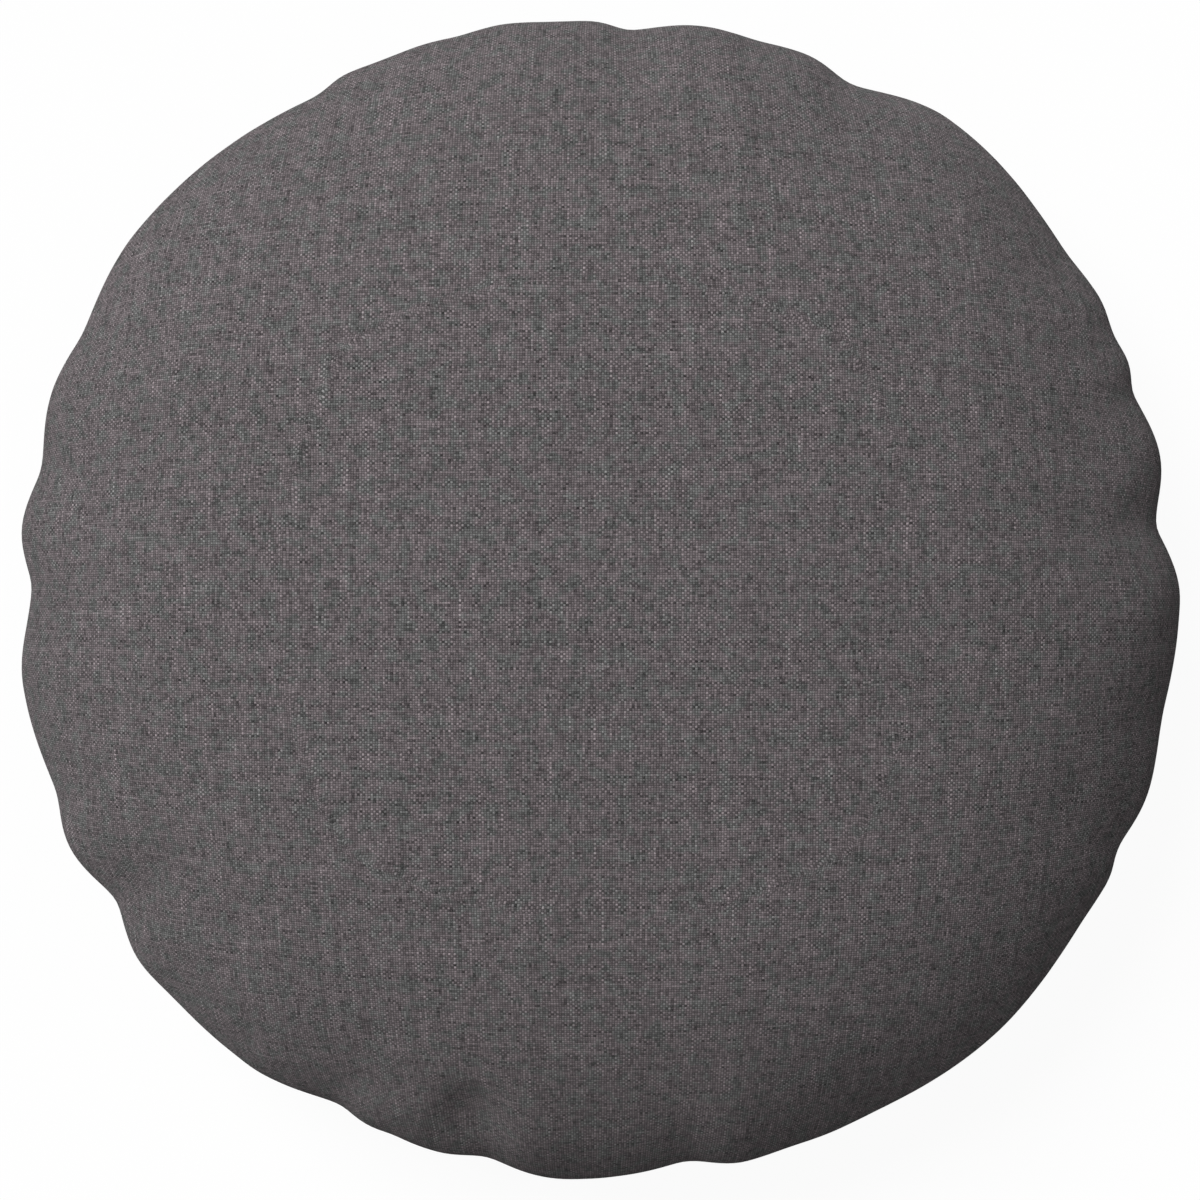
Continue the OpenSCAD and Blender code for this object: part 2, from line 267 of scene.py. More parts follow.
@dataclass(frozen=True)
class HeatherCloth(Finish):
    """Plain-weave upholstery cloth of mixed light and dark yarns."""

    warp_pitch: float = 1.45 * MM
    weft_pitch: float = 1.28 * MM
    mauve: Colour = (0.136, 0.1165, 0.1225)
    slate: Colour = (0.1115, 0.1145, 0.1125)
    yarn_run: float = 7.0 * MM
    slub_run: float = 26.0 * MM
    patch_run: float = 9.0 * MM
    sway_run: float = 18.0 * MM
    sway: float = 0.7
    fleck: float = 0.9 * MM
    fibre: float = 0.16 * MM
    contrast: float = 1.75
    relief: float = 0.35 * MM
    sheen: float = 0.08

    def paint(self, g: Graph) -> None:
        """Paint the cloth over the panel's own flat pattern.

        Args:
            g: The material's graph.
        """
        x, y, _ = g.place("UV")
        drift = g.noise(g.vector(x / self.sway_run, y / self.sway_run), detail=1.0) - 0.5
        along_warp = x / self.warp_pitch + drift * self.sway
        along_weft = y / self.weft_pitch + drift * self.sway
        column, row = along_warp.floor(), along_weft.floor()
        across_warp = self.round_yarn(along_warp)
        across_weft = self.round_yarn(along_weft)
        warp_up = (column + row).modulo(2.0)

        warp_tone = self._yarn_tone(g, column, y, 3.7)
        weft_tone = self._yarn_tone(g, row, x, 11.3)
        tone = warp_up.blend(weft_tone, warp_tone)
        flecks = warp_up.blend(self._fibres(g, y, x), self._fibres(g, x, y))
        weft_height = across_weft * (0.4 + 0.6 * across_warp)
        height = warp_up.blend(weft_height, across_warp * (0.4 + 0.6 * across_weft))

        blot = g.vector(x / self.patch_run, y / self.patch_run, 4.1)
        patches = g.noise(blot, detail=3.0, roughness=0.6).spread(0.40, 0.53)
        tint = g.mix(patches * 0.85 + tone * 0.15, self.slate, self.mauve)
        knot = g.speckle(g.vector(column, row, 2.9))
        shade = (tone - 0.5) * 0.6 + (flecks - 0.5) * 0.5 + (knot - 0.5) * 0.3
        # Painted shade: the colour is darkened where the yarns dip between crossings (low height), and is
        # also scaled by the yarns' own random tone and the lighter warp
        light = (0.4 + 0.95 * height) * (1.0 + self.contrast * shade) * (0.84 + 0.32 * warp_up)
        colour = g.shade(tint, light)
        normal = g.bump(height * 0.8 + flecks * 0.2, self.relief, 0.8)
        fixed = {"Roughness": 0.95, "Specular IOR Level": 0.15}
        fixed |= {"Sheen Weight": self.sheen, "Sheen Roughness": 0.6}
        g.finish(fixed, Base_Color=colour, Normal=normal)

    @staticmethod
    def round_yarn(across: Wire) -> Wire:
        """Return the height of a round yarn: 1 along its middle and 0 between it and the next."""
        side = across.fraction() * 2.0 - 1.0
        return 1.0 - side * side

    def _fibres(self, g: Graph, across: Wire, along: Wire) -> Wire:
        """Return the streaks of the loose fibres that run along a yarn with a slight twist.

        Args:
            g: The graph.
            across: The distance across the yarn.
            along: The distance along it.

        Returns:
            From 0, dark, to 1, light.
        """
        twisted = across + along * 0.35
        place = g.vector(twisted / self.fibre, along / self.fleck)
        return g.noise(place, detail=2.0, roughness=0.7).spread(0.3, 0.7)

    def _yarn_tone(self, g: Graph, yarn: Wire, along: Wire, seed: float) -> Wire:
        """Return how light a yarn is at a place along it.

        Args:
            g: The graph.
            yarn: The yarn's number.
            along: The distance along the yarn.
            seed: What makes one set of yarns differ from the other.

        Returns:
            From 0, dark, to 1, light.
        """
        own = g.speckle(g.vector(yarn, seed))
        run = g.noise(g.vector(yarn * 1.73 + seed, along / self.yarn_run), detail=1.5).spread(0.32, 0.68)
        place = g.vector(yarn * 0.61 + seed, along / self.slub_run, 7.7)
        slub = g.noise(place, detail=1.0).spread(0.62, 0.74)
        return run * 0.72 + own * 0.28 + slub * 0.55


@dataclass(frozen=True)
class SpunThread(Finish):
    """Matt sewing thread of two plies."""

    colour: Colour = (0.175, 0.160, 0.166)
    ply_run: float = 0.9 * MM

    def paint(self, g: Graph) -> None:
        """Paint the thread.

        Args:
            g: The material's graph.
        """
        x, y, z = g.place()
        twist = ((x + y * 0.9 + z * 2.0) * (2 * math.pi / self.ply_run)).sine() * 0.5 + 0.5
        fuzz = g.noise(g.grain((x, y, z), 0.3, 0.3, 0.3), detail=2.0)
        # Painted shade: darker in the grooves between the plies, where twist is low, plus the fuzz's random
        # tone
        tone = 0.72 + 0.3 * twist + 0.35 * (fuzz - 0.5)
        colour = g.shade(g.mix(fuzz, self.colour, [c * 1.25 for c in self.colour]), tone)
        fixed = {"Roughness": 0.85, "Sheen Weight": 0.3, "Specular IOR Level": 0.25}
        g.finish(fixed, Base_Color=colour, Normal=g.bump(twist * 0.7 + fuzz * 0.3, 0.08 * MM, 0.8))


@dataclass(frozen=True)
class ZipTapeWeave(Finish):
    """Dark polyester tape woven in a herringbone."""

    colour: Colour = (0.048, 0.047, 0.050)
    pitch: float = 0.55 * MM
    band: float = 3.2 * MM

    def paint(self, g: Graph) -> None:
        """Paint the tape.

        Args:
            g: The material's graph.
        """
        x, y, _ = g.place()
        zigzag = ((y / self.band).fraction() - 0.5).absolute() * (self.band / self.pitch)
        across = (x / self.pitch + zigzag).fraction() * 2.0 - 1.0
        rib = 1.0 - across * across
        ends = ((y / self.pitch).fraction() * math.pi).sine()
        fibre = g.noise(g.grain((x, y), 0.25, 0.25), detail=2.0)
        height = rib * 0.65 + ends * 0.35
        # Painted shade: darker between the ribs and yarn ends, where height is low, plus the fibre's random
        # tone
        colour = g.shade(g.mix(fibre, self.colour, [c * 1.5 for c in self.colour]), 0.55 + 0.6 * height)
        fixed = {"Roughness": 0.75, "Sheen Weight": 0.15, "Specular IOR Level": 0.35}
        g.finish(fixed, Base_Color=colour, Normal=g.bump(height * 0.85 + fibre * 0.15, 0.12 * MM, 0.8))


@dataclass(frozen=True)
class NylonCoil(Finish):
    """Drawn nylon wire, half matt, with a slight scuffing."""

    colour: Colour = (0.062, 0.061, 0.064)

    def paint(self, g: Graph) -> None:
        """Paint the nylon.

        Args:
            g: The material's graph.
        """
        x, y, z = g.place()
        cloud = g.noise(g.grain((x, y, z), 2.2, 1.1, 1.1), detail=3.0)
        scratch = g.grain((x, y, z), 0.2, 0.7, 0.2)
        scuff = g.noise(scratch, detail=3.0).spread(0.35, 0.75)
        colour = g.shade(g.mix(scuff, self.colour, [c * 1.45 for c in self.colour]), 0.8 + 0.4 * cloud)
        rough = 0.3 + 0.25 * scuff
        normal = g.bump(scuff, 0.02 * MM)
        g.finish({"Specular IOR Level": 0.5}, Base_Color=colour, Roughness=rough, Normal=normal)


@dataclass(frozen=True)
class SatinNickel(Finish):
    """Nickel plate over a zinc casting, tumbled to a satin and worn brighter on its high spots."""

    plate: Colour = (0.56, 0.55, 0.53)
    worn: Colour = (0.72, 0.70, 0.66)

    def paint(self, g: Graph) -> None:
        """Paint the plate.

        Args:
            g: The material's graph.
        """
        x, y, z = g.place()
        blot = g.grain((x, y, z), 1.8, 1.8, 1.8)
        patch = g.noise(blot, detail=3.0).spread(0.4, 0.65)
        grain = g.noise(g.grain((x, y, z), 0.9, 0.12, 0.12), detail=2.0)
        colour = g.shade(g.mix(patch, self.plate, self.worn), 0.88 + 0.2 * grain)
        rough = 0.24 + 0.16 * grain + 0.08 * (1.0 - patch)
        normal = g.bump(grain, 0.012 * MM, 0.6)
        g.finish({"Metallic": 1.0}, Base_Color=colour, Roughness=rough, Normal=normal)


@dataclass(frozen=True)
class LinerWeave(Finish):
    """Light cotton-mix cloth, finely woven, with specks of seed."""

    colour: Colour = (0.70, 0.68, 0.62)
    seed: Colour = (0.30, 0.22, 0.13)
    pitch: float = 0.6 * MM

    def paint(self, g: Graph) -> None:
        """Paint the cloth over the panel's own flat pattern.

        Args:
            g: The material's graph.
        """
        x, y, _ = g.place("UV")
        column, row = x / self.pitch, y / self.pitch
        over = (column.floor() + row.floor()).modulo(2.0)
        warp, weft = HeatherCloth.round_yarn(column), HeatherCloth.round_yarn(row)
        height = over.blend(weft * (0.6 + 0.4 * warp), warp * (0.6 + 0.4 * weft))
        slub = g.noise(g.grain((x, y), 14, 0.8), detail=1.0).spread(0.55, 0.75)
        speck = g.noise(g.vector(x / (1.1 * MM), y / (1.1 * MM), 5.0), detail=0.0).spread(0.78, 0.82)
        # Painted shade: darker between the yarns, where height is low, plus the slubs' own tone
        light = 0.68 + 0.32 * height + 0.08 * slub
        colour = g.shade(g.mix(speck * 0.5, self.colour, self.seed), light)
        fixed = {"Roughness": 0.92, "Sheen Weight": 0.15, "Specular IOR Level": 0.2}
        g.finish(fixed, Base_Color=colour, Normal=g.bump(height * 0.8 + slub * 0.2, 0.12 * MM, 0.7))


@dataclass(frozen=True)
class LooseFibre(Finish):
    """White polyester fibre, teased out and packed."""

    colour: Colour = (0.84, 0.84, 0.81)

    def paint(self, g: Graph) -> None:
        """Paint the fibre.

        Args:
            g: The material's graph.
        """
        x, y, z = g.place()
        wander = g.noise(g.grain((x, y, z), 22, 22, 22), detail=2.0) * 9.0
        pulled = g.vector(x / (1.1 * MM) + wander, y / (7 * MM) + wander, z / (2 * MM))
        strand = g.noise(pulled, detail=4.0, roughness=0.65)
        tuft = g.noise(g.grain((x, y, z), 14, 14, 14), detail=3.0)
        colour = g.shade(g.mix(tuft, self.colour, [c * 0.86 for c in self.colour]), 0.72 + 0.45 * strand)
        fixed = {"Roughness": 1.0, "Sheen Weight": 0.5, "Specular IOR Level": 0.1}
        g.finish(fixed, Base_Color=colour, Normal=g.bump(strand * 0.6 + tuft * 0.4, 1.6 * MM, 0.8))


@dataclass(frozen=True)
class LabelSatin(Finish):
    """Blank satin label tape, with its ribs across it."""

    colour: Colour = (0.78, 0.77, 0.73)
    rib: float = 0.35 * MM

    def paint(self, g: Graph) -> None:
        """Paint the satin.

        Args:
            g: The material's graph.
        """
        x, y, _ = g.place()
        rib = ((y / self.rib).fraction() * math.pi).sine()
        streak = g.noise(g.grain((x, y), 0.2, 3), detail=2.0)
        # Painted shade: darker in the grooves between the ribs, plus random streaks of the satin's own tone
        colour = g.shade(g.mix(streak, self.colour, [c * 0.92 for c in self.colour]), 0.85 + 0.15 * rib)
        rough = 0.38 + 0.15 * streak
        normal = g.bump(rib, 0.03 * MM, 0.6)
        g.finish({"Sheen Weight": 0.1}, Base_Color=colour, Roughness=rough, Normal=normal)


@dataclass(frozen=True)
class FloorPaint(Finish):
    """A pale seamless floor that stays almost white in the shade, and is seen only from above."""

    white: float = 0.05
    glow: float = 0.945

    def paint(self, g: Graph) -> None:
        """Paint the floor's paint.

        Args:
            g: The material's graph.
        """
        x, y, _ = g.place()
        mottling = g.noise(g.vector(x * 3.0, y * 3.0), detail=3.0).spread(0.3, 0.7, 0.9, 1.0)
        colour = g.shade(g.mix(0.0, (self.white,) * 3, (0.0,) * 3), mottling)
        paint = {"Base Color": colour, "Roughness": 0.9, "Specular IOR Level": 0.0,
                 "Emission Color": (1.0, 1.0, 1.0, 1.0), "Emission Strength": self.glow}
        under = g.node("ShaderNodeNewGeometry", {}, {}, "Backfacing")
        coated = g.node("ShaderNodeBsdfPrincipled", {}, paint)
        clear = g.node("ShaderNodeBsdfTransparent", {}, {})
        g.output(g.node("ShaderNodeMixShader", {}, {0: under, 1: coated, 2: clear}))


# --- Mesh helpers -------------------------------------------------------------------------------------------


@dataclass
class QuadSheet:
    """Cloth as quads: where each point is, and where it lies on the flat pattern."""

    points: np.ndarray
    flat: np.ndarray
    quads: np.ndarray

    def normals(self) -> np.ndarray:
        """Return the unit normal at each point.

        Returns:
            The normals.
        """
        a, b, c, d = (self.points[self.quads[:, k]] for k in range(4))
        face = np.cross(c - a, d - b)
        total = np.zeros_like(self.points)
        for k in range(4):
            np.add.at(total, self.quads[:, k], face)
        return total / np.maximum(np.linalg.norm(total, axis=1, keepdims=True), 1e-12)

    def partners(self, line: Sequence[int]) -> np.ndarray:
        """Find the point across the first row of quads from each point of a boundary line.

        Args:
            line: The boundary's points, in order.

        Returns:
            The partner of each point.
        """
        on_line = np.zeros(len(self.points), bool)
        on_line[list(line)] = True
        partner: dict[int, int] = {}
        touching = self.quads[on_line[self.quads].sum(axis=1) == 2]
        for quad in touching.tolist():
            for k in range(4):
                a, b = quad[k], quad[(k + 1) % 4]
                if on_line[a] != on_line[b]:
                    partner[a if on_line[a] else b] = b if on_line[a] else a
        return np.array([partner[i] for i in line])

    def insert_rows(self, line: Sequence[int], shares: Sequence[float], closed: bool) -> list[np.ndarray]:
        """Split the first row of quads along a boundary line into thinner rows.

        Args:
            line: The boundary's points, in order.
            shares: How far each new row is from the line to the next row, from 0 to 1.
            closed: True if the line is a loop.

        Returns:
            The new rows, from the line inwards.
        """
        inner = self.partners(line)
        outer = np.array(line)
        on_line = np.zeros(len(self.points), bool)
        on_line[outer] = True
        keep = self.quads[on_line[self.quads].sum(axis=1) != 2]
        sample = self.quads[on_line[self.quads].sum(axis=1) == 2][0].tolist()
        rows = []
        for share in shares:
            between = [grid[outer] * (1 - share) + grid[inner] * share for grid in (self.points, self.flat)]
            rows.append(self._add_row(*between))
        order = {int(p): k for k, p in enumerate(outer)}
        ends = [k for k in range(4) if sample[k] in order and sample[(k + 1) % 4] in order][0]
        first, second = order[sample[ends]], order[sample[(ends + 1) % 4]]
        ahead = (second - first) % len(outer) == 1
        self.quads = np.concatenate([keep, strip_quads([outer, *rows, inner], closed, ahead)])
        return rows

    def _add_row(self, place: np.ndarray, flat: np.ndarray) -> np.ndarray:
        """Add points to the cloth.

        Args:
            place: Where they are.
            flat: Where they lie on the pattern.

        Returns:
            Their numbers.
        """
        start = len(self.points)
        self.points = np.concatenate([self.points, place])
        self.flat = np.concatenate([self.flat, flat])
        return np.arange(start, len(self.points))

    def extend(
        self, line: Sequence[int], places: Sequence[np.ndarray], closed: bool, flat_steps: Sequence[float]
    ) -> list[np.ndarray]:
        """Carry the cloth on past a boundary line.

        Args:
            line: The boundary's points, in order.
            places: For each new row, where its points are.
            closed: True if the line is a loop.
            flat_steps: For each new row, how far past the line it lies on the pattern.

        Returns:
            The new rows, from the line outwards.
        """
        outer = np.array(line)
        inner = self.partners(line)
        away = self.flat[outer] - self.flat[inner]
        away /= np.maximum(np.linalg.norm(away, axis=1, keepdims=True), 1e-9)
        sample = next(q for q in self.quads.tolist() if sum(p in set(outer[:2].tolist()) for p in q) == 2)
        k = next(k for k in range(4) if {sample[k], sample[(k + 1) % 4]} == {int(outer[0]), int(outer[1])})
        ahead = sample[k] == int(outer[0])
        rows = []
        for place, step in zip(places, flat_steps):
            rows.append(self._add_row(place, self.flat[outer] + away * step))
        self.quads = np.concatenate([self.quads, strip_quads([outer, *rows], closed, not ahead)])
        return rows

    def part(self, chosen: np.ndarray) -> "QuadSheet":
        """Return the chosen quads as a sheet of their own.

        Args:
            chosen: True for each quad that is wanted.

        Returns:
            The sheet.
        """
        quads = self.quads[chosen]
        used, renumbered = np.unique(quads, return_inverse=True)
        return QuadSheet(self.points[used], self.flat[used], renumbered.reshape(quads.shape))

    def boundary(self) -> list[list[int]]:
        """Return the sheet's open edges as ordered loops, each with the cloth on its left.

        Returns:
            The loops, as point numbers.
        """
        edges: dict[tuple[int, int], int] = {}
        for quad in self.quads.tolist():
            for k in range(4):
                edges[(quad[k], quad[(k + 1) % 4])] = 1
        onward = {a: b for (a, b) in edges if (b, a) not in edges}
        loops = []
        while onward:
            start, at = next(iter(onward.items()))
            loop = [start]
            del onward[start]
            while at != start:
                loop.append(at)
                at = onward.pop(at)
            loops.append(loop)
        return loops

    def build(self, name: str, thickness: float, material: bpy.types.Material) -> bpy.types.Object:
        """Make the sheet a closed piece of cloth with a real thickness.

        Args:
            name: The piece's name.
            thickness: The cloth's thickness, which goes inwards.
            material: The cloth's material.

        Returns:
            The piece.
        """
        piece = mesh_piece(name, self.points, self.quads, material)
        pattern = piece.data.uv_layers.new(name="pattern")
        corners = self.flat[self.quads.ravel()].astype(np.float32)
        pattern.data.foreach_set("uv", corners.ravel())
        if thickness > 0:
            solid = piece.modifiers.new("cloth_thickness", "SOLIDIFY")
            solid.thickness = thickness
            solid.offset = -1.0
            solid.use_rim = True
            apply_modifiers(piece)
        return piece


def strip_quads(rows: Sequence[np.ndarray], closed: bool, ahead: bool) -> np.ndarray:
    """Join rows of points with quads.

    Args:
        rows: The rows, all of one length.
        closed: True if each row is a loop.
        ahead: True if the first row's points run in the quads' own order.

    Returns:
        The quads.
    """
    quads = []
    for near, far in zip(rows[:-1], rows[1:]):
        near, far = (near, far) if ahead else (near[::-1], far[::-1])
        if closed:
            near, far = np.append(near, near[0]), np.append(far, far[0])
        quads.append(np.stack([near[:-1], near[1:], far[1:], far[:-1]], axis=-1))
    return np.concatenate(quads)


def mesh_piece(
    name: str,
    points: np.ndarray,
    faces: Iterable[Sequence[int]],
    material: bpy.types.Material,
    outward: bool = False,
) -> bpy.types.Object:
    """Make a smooth-shaded mesh object.

    Args:
        name: The piece's name.
        points: Where its points are, in metres.
        faces: Its faces.
        material: Its material.
        outward: True to turn every face of a closed piece outwards.

    Returns:
        The piece.
    """
    mesh = bpy.data.meshes.new(name)
    faces = faces.tolist() if isinstance(faces, np.ndarray) else list(faces)
    mesh.from_pydata(np.asarray(points, float).tolist(), [], faces)
    if outward:
        shell = bmesh.new()
        shell.from_mesh(mesh)
        bmesh.ops.recalc_face_normals(shell, faces=shell.faces)
        shell.to_mesh(mesh)
        shell.free()
    mesh.polygons.foreach_set("use_smooth", [True] * len(mesh.polygons))
    mesh.materials.append(material)
    mesh.update()
    piece = bpy.data.objects.new(name, mesh)
    bpy.context.scene.collection.objects.link(piece)
    return piece


def apply_modifiers(piece: bpy.types.Object) -> None:
    """Replace a piece's mesh with what its modifiers make of it.

    Args:
        piece: The piece.
    """
    graph = bpy.context.evaluated_depsgraph_get()
    changed = piece.evaluated_get(graph)
    made = bpy.data.meshes.new_from_object(changed, preserve_all_data_layers=True, depsgraph=graph)
    old = piece.data
    piece.modifiers.clear()
    piece.data = made
    bpy.data.meshes.remove(old)


def eased(share: np.ndarray) -> np.ndarray:
    """Return a soft step from 0 to 1 as share goes from 0 to 1."""
    held = np.clip(share, 0.0, 1.0)
    return held * held * (3 - 2 * held)


def sweep(path: np.ndarray, up: np.ndarray, section: np.ndarray) -> tuple[np.ndarray, list]:
    """Carry a section along an open path.

    Args:
        path: The path's points.
        up: Roughly which way the section's second axis points, for each point.
        section: The section's points, in order round it.

    Returns:
        The points and the faces.
    """
    ahead = unit(np.gradient(path, axis=0))
    up = unit(up - ahead * (up * ahead).sum(axis=1, keepdims=True))
    side = np.cross(ahead, up)
    points = path[:, None] + side[:, None] * section[None, :, :1] + up[:, None] * section[None, :, 1:]
    count, around = len(path), len(section)
    index = np.arange(count * around).reshape(count, around)
    faces = strip_quads(list(index), closed=True, ahead=False).tolist()
    return points.reshape(-1, 3), [*faces, index[0].tolist(), index[-1][::-1].tolist()]


def unit(vectors: np.ndarray) -> np.ndarray:
    """Return the vectors with a length of 1."""
    return vectors / np.maximum(np.linalg.norm(vectors, axis=-1, keepdims=True), 1e-12)


def circle(radius: float, sides: int) -> np.ndarray:
    """Return the points of a round section."""
    turn = np.arange(sides) * 2 * math.pi / sides
    return radius * np.stack([np.cos(turn), np.sin(turn)], axis=-1)


def rounded_strip(width: float, thickness: float) -> np.ndarray:
    """Return the points of a flat section with round edges.

    Args:
        width: The section's width.
        thickness: Its thickness.

    Returns:
        The points, in order.
    """
    turn = np.linspace(-math.pi / 2, math.pi / 2, 5)
    end = np.stack([np.cos(turn), np.sin(turn)], axis=-1) * thickness / 2
    right = end + np.array([width / 2 - thickness / 2, 0.0])
    return np.concatenate([right, -right])


def spaced(line: np.ndarray, spacing: float, closed: bool) -> tuple[np.ndarray, np.ndarray]:
    """Walk along a line in even steps.

    Args:
        line: The line's points.
        spacing: The length of a step, which is fitted to the line.
        closed: True if the line is a loop.

    Returns:
        The place of each step's middle, and the line's direction there.
    """
    path = np.vstack([line, line[:1]]) if closed else line
    length = np.concatenate([[0.0], np.cumsum(np.linalg.norm(np.diff(path, axis=0), axis=1))])
    count = max(2, round(length[-1] / spacing))
    middles = (np.arange(count) + 0.5) / count * length[-1]

    def place(at: np.ndarray) -> np.ndarray:
        """Return the points at distances along the path."""
        at = at % length[-1] if closed else at
        return np.stack([np.interp(at, length, path[:, k]) for k in range(3)], axis=-1)

    return place(middles), unit(place(middles + spacing / 4) - place(middles - spacing / 4))


@dataclass(frozen=True)
class Stitch:
    """One visible length of thread, which dips into the cloth at both ends."""

    length: float = 2.8 * MM
    radius: float = 0.25 * MM
    sides: int = 6

    def lay(self, places: np.ndarray, along: np.ndarray, out: np.ndarray) -> tuple[np.ndarray, list]:
        """Lay a stitch at each place.

        Args:
            places: The middle of each stitch.
            along: The direction of each stitch.
            out: The way out of the cloth at each stitch.

        Returns:
            The points and the faces.
        """
        reach = np.array([-1.0, -0.85, -0.45, 0.0, 0.45, 0.85, 1.0])
        girth = np.array([0.35, 0.8, 1.0, 1.0, 1.0, 0.8, 0.35])
        out = unit(out - along * (out * along).sum(axis=1, keepdims=True))
        side = np.cross(along, out)
        spine = places[:, None] + along[:, None] * (reach * self.length / 2)[None, :, None]
        spine = spine - out[:, None] * (reach ** 2 * self.radius * 1.3)[None, :, None]
        ring = circle(self.radius, self.sides)
        around = side[:, None, None] * ring[None, None, :, :1] + out[:, None, None] * ring[None, None, :, 1:]
        points = spine[:, :, None] + around * girth[None, :, None, None]
        one = np.arange(len(reach) * self.sides).reshape(len(reach), self.sides)
        quads = strip_quads(list(one), closed=True, ahead=False)
        faces = []
        for start in range(0, len(places) * one.size, one.size):
            faces += (quads + start).tolist()
            faces += [(one[0] + start).tolist(), (one[-1][::-1] + start).tolist()]
        return points.reshape(-1, 3), faces


def cast_from(node: str, name: str, grain: float, material: bpy.types.Material) -> bpy.types.Object:
    """Make a casting with soft edges in the shape of a CAD node.

    Args:
        node: The CAD node.
        name: The piece's name.
        grain: The size of the mesh's cells, which the edges are rounded to.
        material: The piece's material.

    Returns:
        The piece.
    """
    piece = bpy.data.objects.new(name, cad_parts[node].data.copy())
    bpy.context.scene.collection.objects.link(piece)
    cells = piece.modifiers.new("cells", "REMESH")
    cells.mode = "VOXEL"
    cells.voxel_size = grain
    soft = piece.modifiers.new("soft_edges", "SMOOTH")
    soft.factor = 0.5
    soft.iterations = 3
    apply_modifiers(piece)
    piece.data.materials.clear()
    piece.data.materials.append(material)
    piece.data.polygons.foreach_set("use_smooth", [True] * len(piece.data.polygons))
    return piece


def place_piece(piece: bpy.types.Object, body: str, slot: str, *nodes: str) -> bpy.types.Object:
    """Fix a piece to a CAD body, and let it stand for CAD nodes, which are hidden.

    Args:
        piece: The piece.
        body: The body that it moves with.
        slot: The name of a material slot, which is not used.
        nodes: The CAD nodes that it stands for.

    Returns:
        The piece.
    """
    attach(piece, body)
    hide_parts(*nodes)
    LOG.info("%s: %d faces, on %s", piece.name, len(piece.data.polygons), body)
    return piece


# --- The cushion's sizes ------------------------------------------------------------------------------------


@dataclass(frozen=True)
class Sizes:
    """The driving sizes, in metres: those that the frame's boxes give, and those of the cloth itself."""

    edge_r: float
    seam_z: float
    crown_z: float
    zip_z: float
    lip_y: float
    opening: float
    valley: float
    contact_r: float = 205 * MM
    shelf: float = 14 * MM
    shoulder: float = 22 * MM
    fabric: float = 0.8 * MM
    allowance: float = 12 * MM

    @classmethod
    def from_frame(cls) -> "Sizes":
        """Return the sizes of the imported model.

        Returns:
            The sizes.
        """
        top_low, top_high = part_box("cover_top_panel")
        stop_low, stop_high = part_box("zip_bottom_stop")
        slider_low, slider_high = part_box("zip_slider")
        pull_low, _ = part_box("zip_pull")
        lip_gap, pull_room = 0.7 * MM, 3 * MM
        slider_x = (slider_low.x + slider_high.x) / 2
        return cls(
            edge_r=top_high.x,
            seam_z=top_low.z,
            crown_z=top_high.z,
            zip_z=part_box("zip_topstitch_thread")[1].z,
            lip_y=slider_high.y + lip_gap,
            opening=stop_high.x - 2 * stop_low.x,
            valley=2 * slider_x - pull_low.x + pull_room - cls.shelf,
        )

    def valley_lift(self, x: np.ndarray, y: np.ndarray, shelf: float, lift: float) -> np.ndarray:
        """Return how far the soft valley that holds the zip is drawn up.

        Args:
            x: Places along the zip.
            y: Places across it.
            shelf: The distance from the zip's line at which the shoulder starts.
            lift: How far the valley's floor is drawn up.

        Returns:
            The lift at each place.
        """
        away = np.hypot(np.maximum(np.abs(x) - self.valley, 0), y)
        return lift * (1 - eased((away - shelf) / self.shoulder))


class SeamTurn(Enum):
    """What the edge does at a turning point."""

    CREST = "crest"
    NOTCH = "notch"


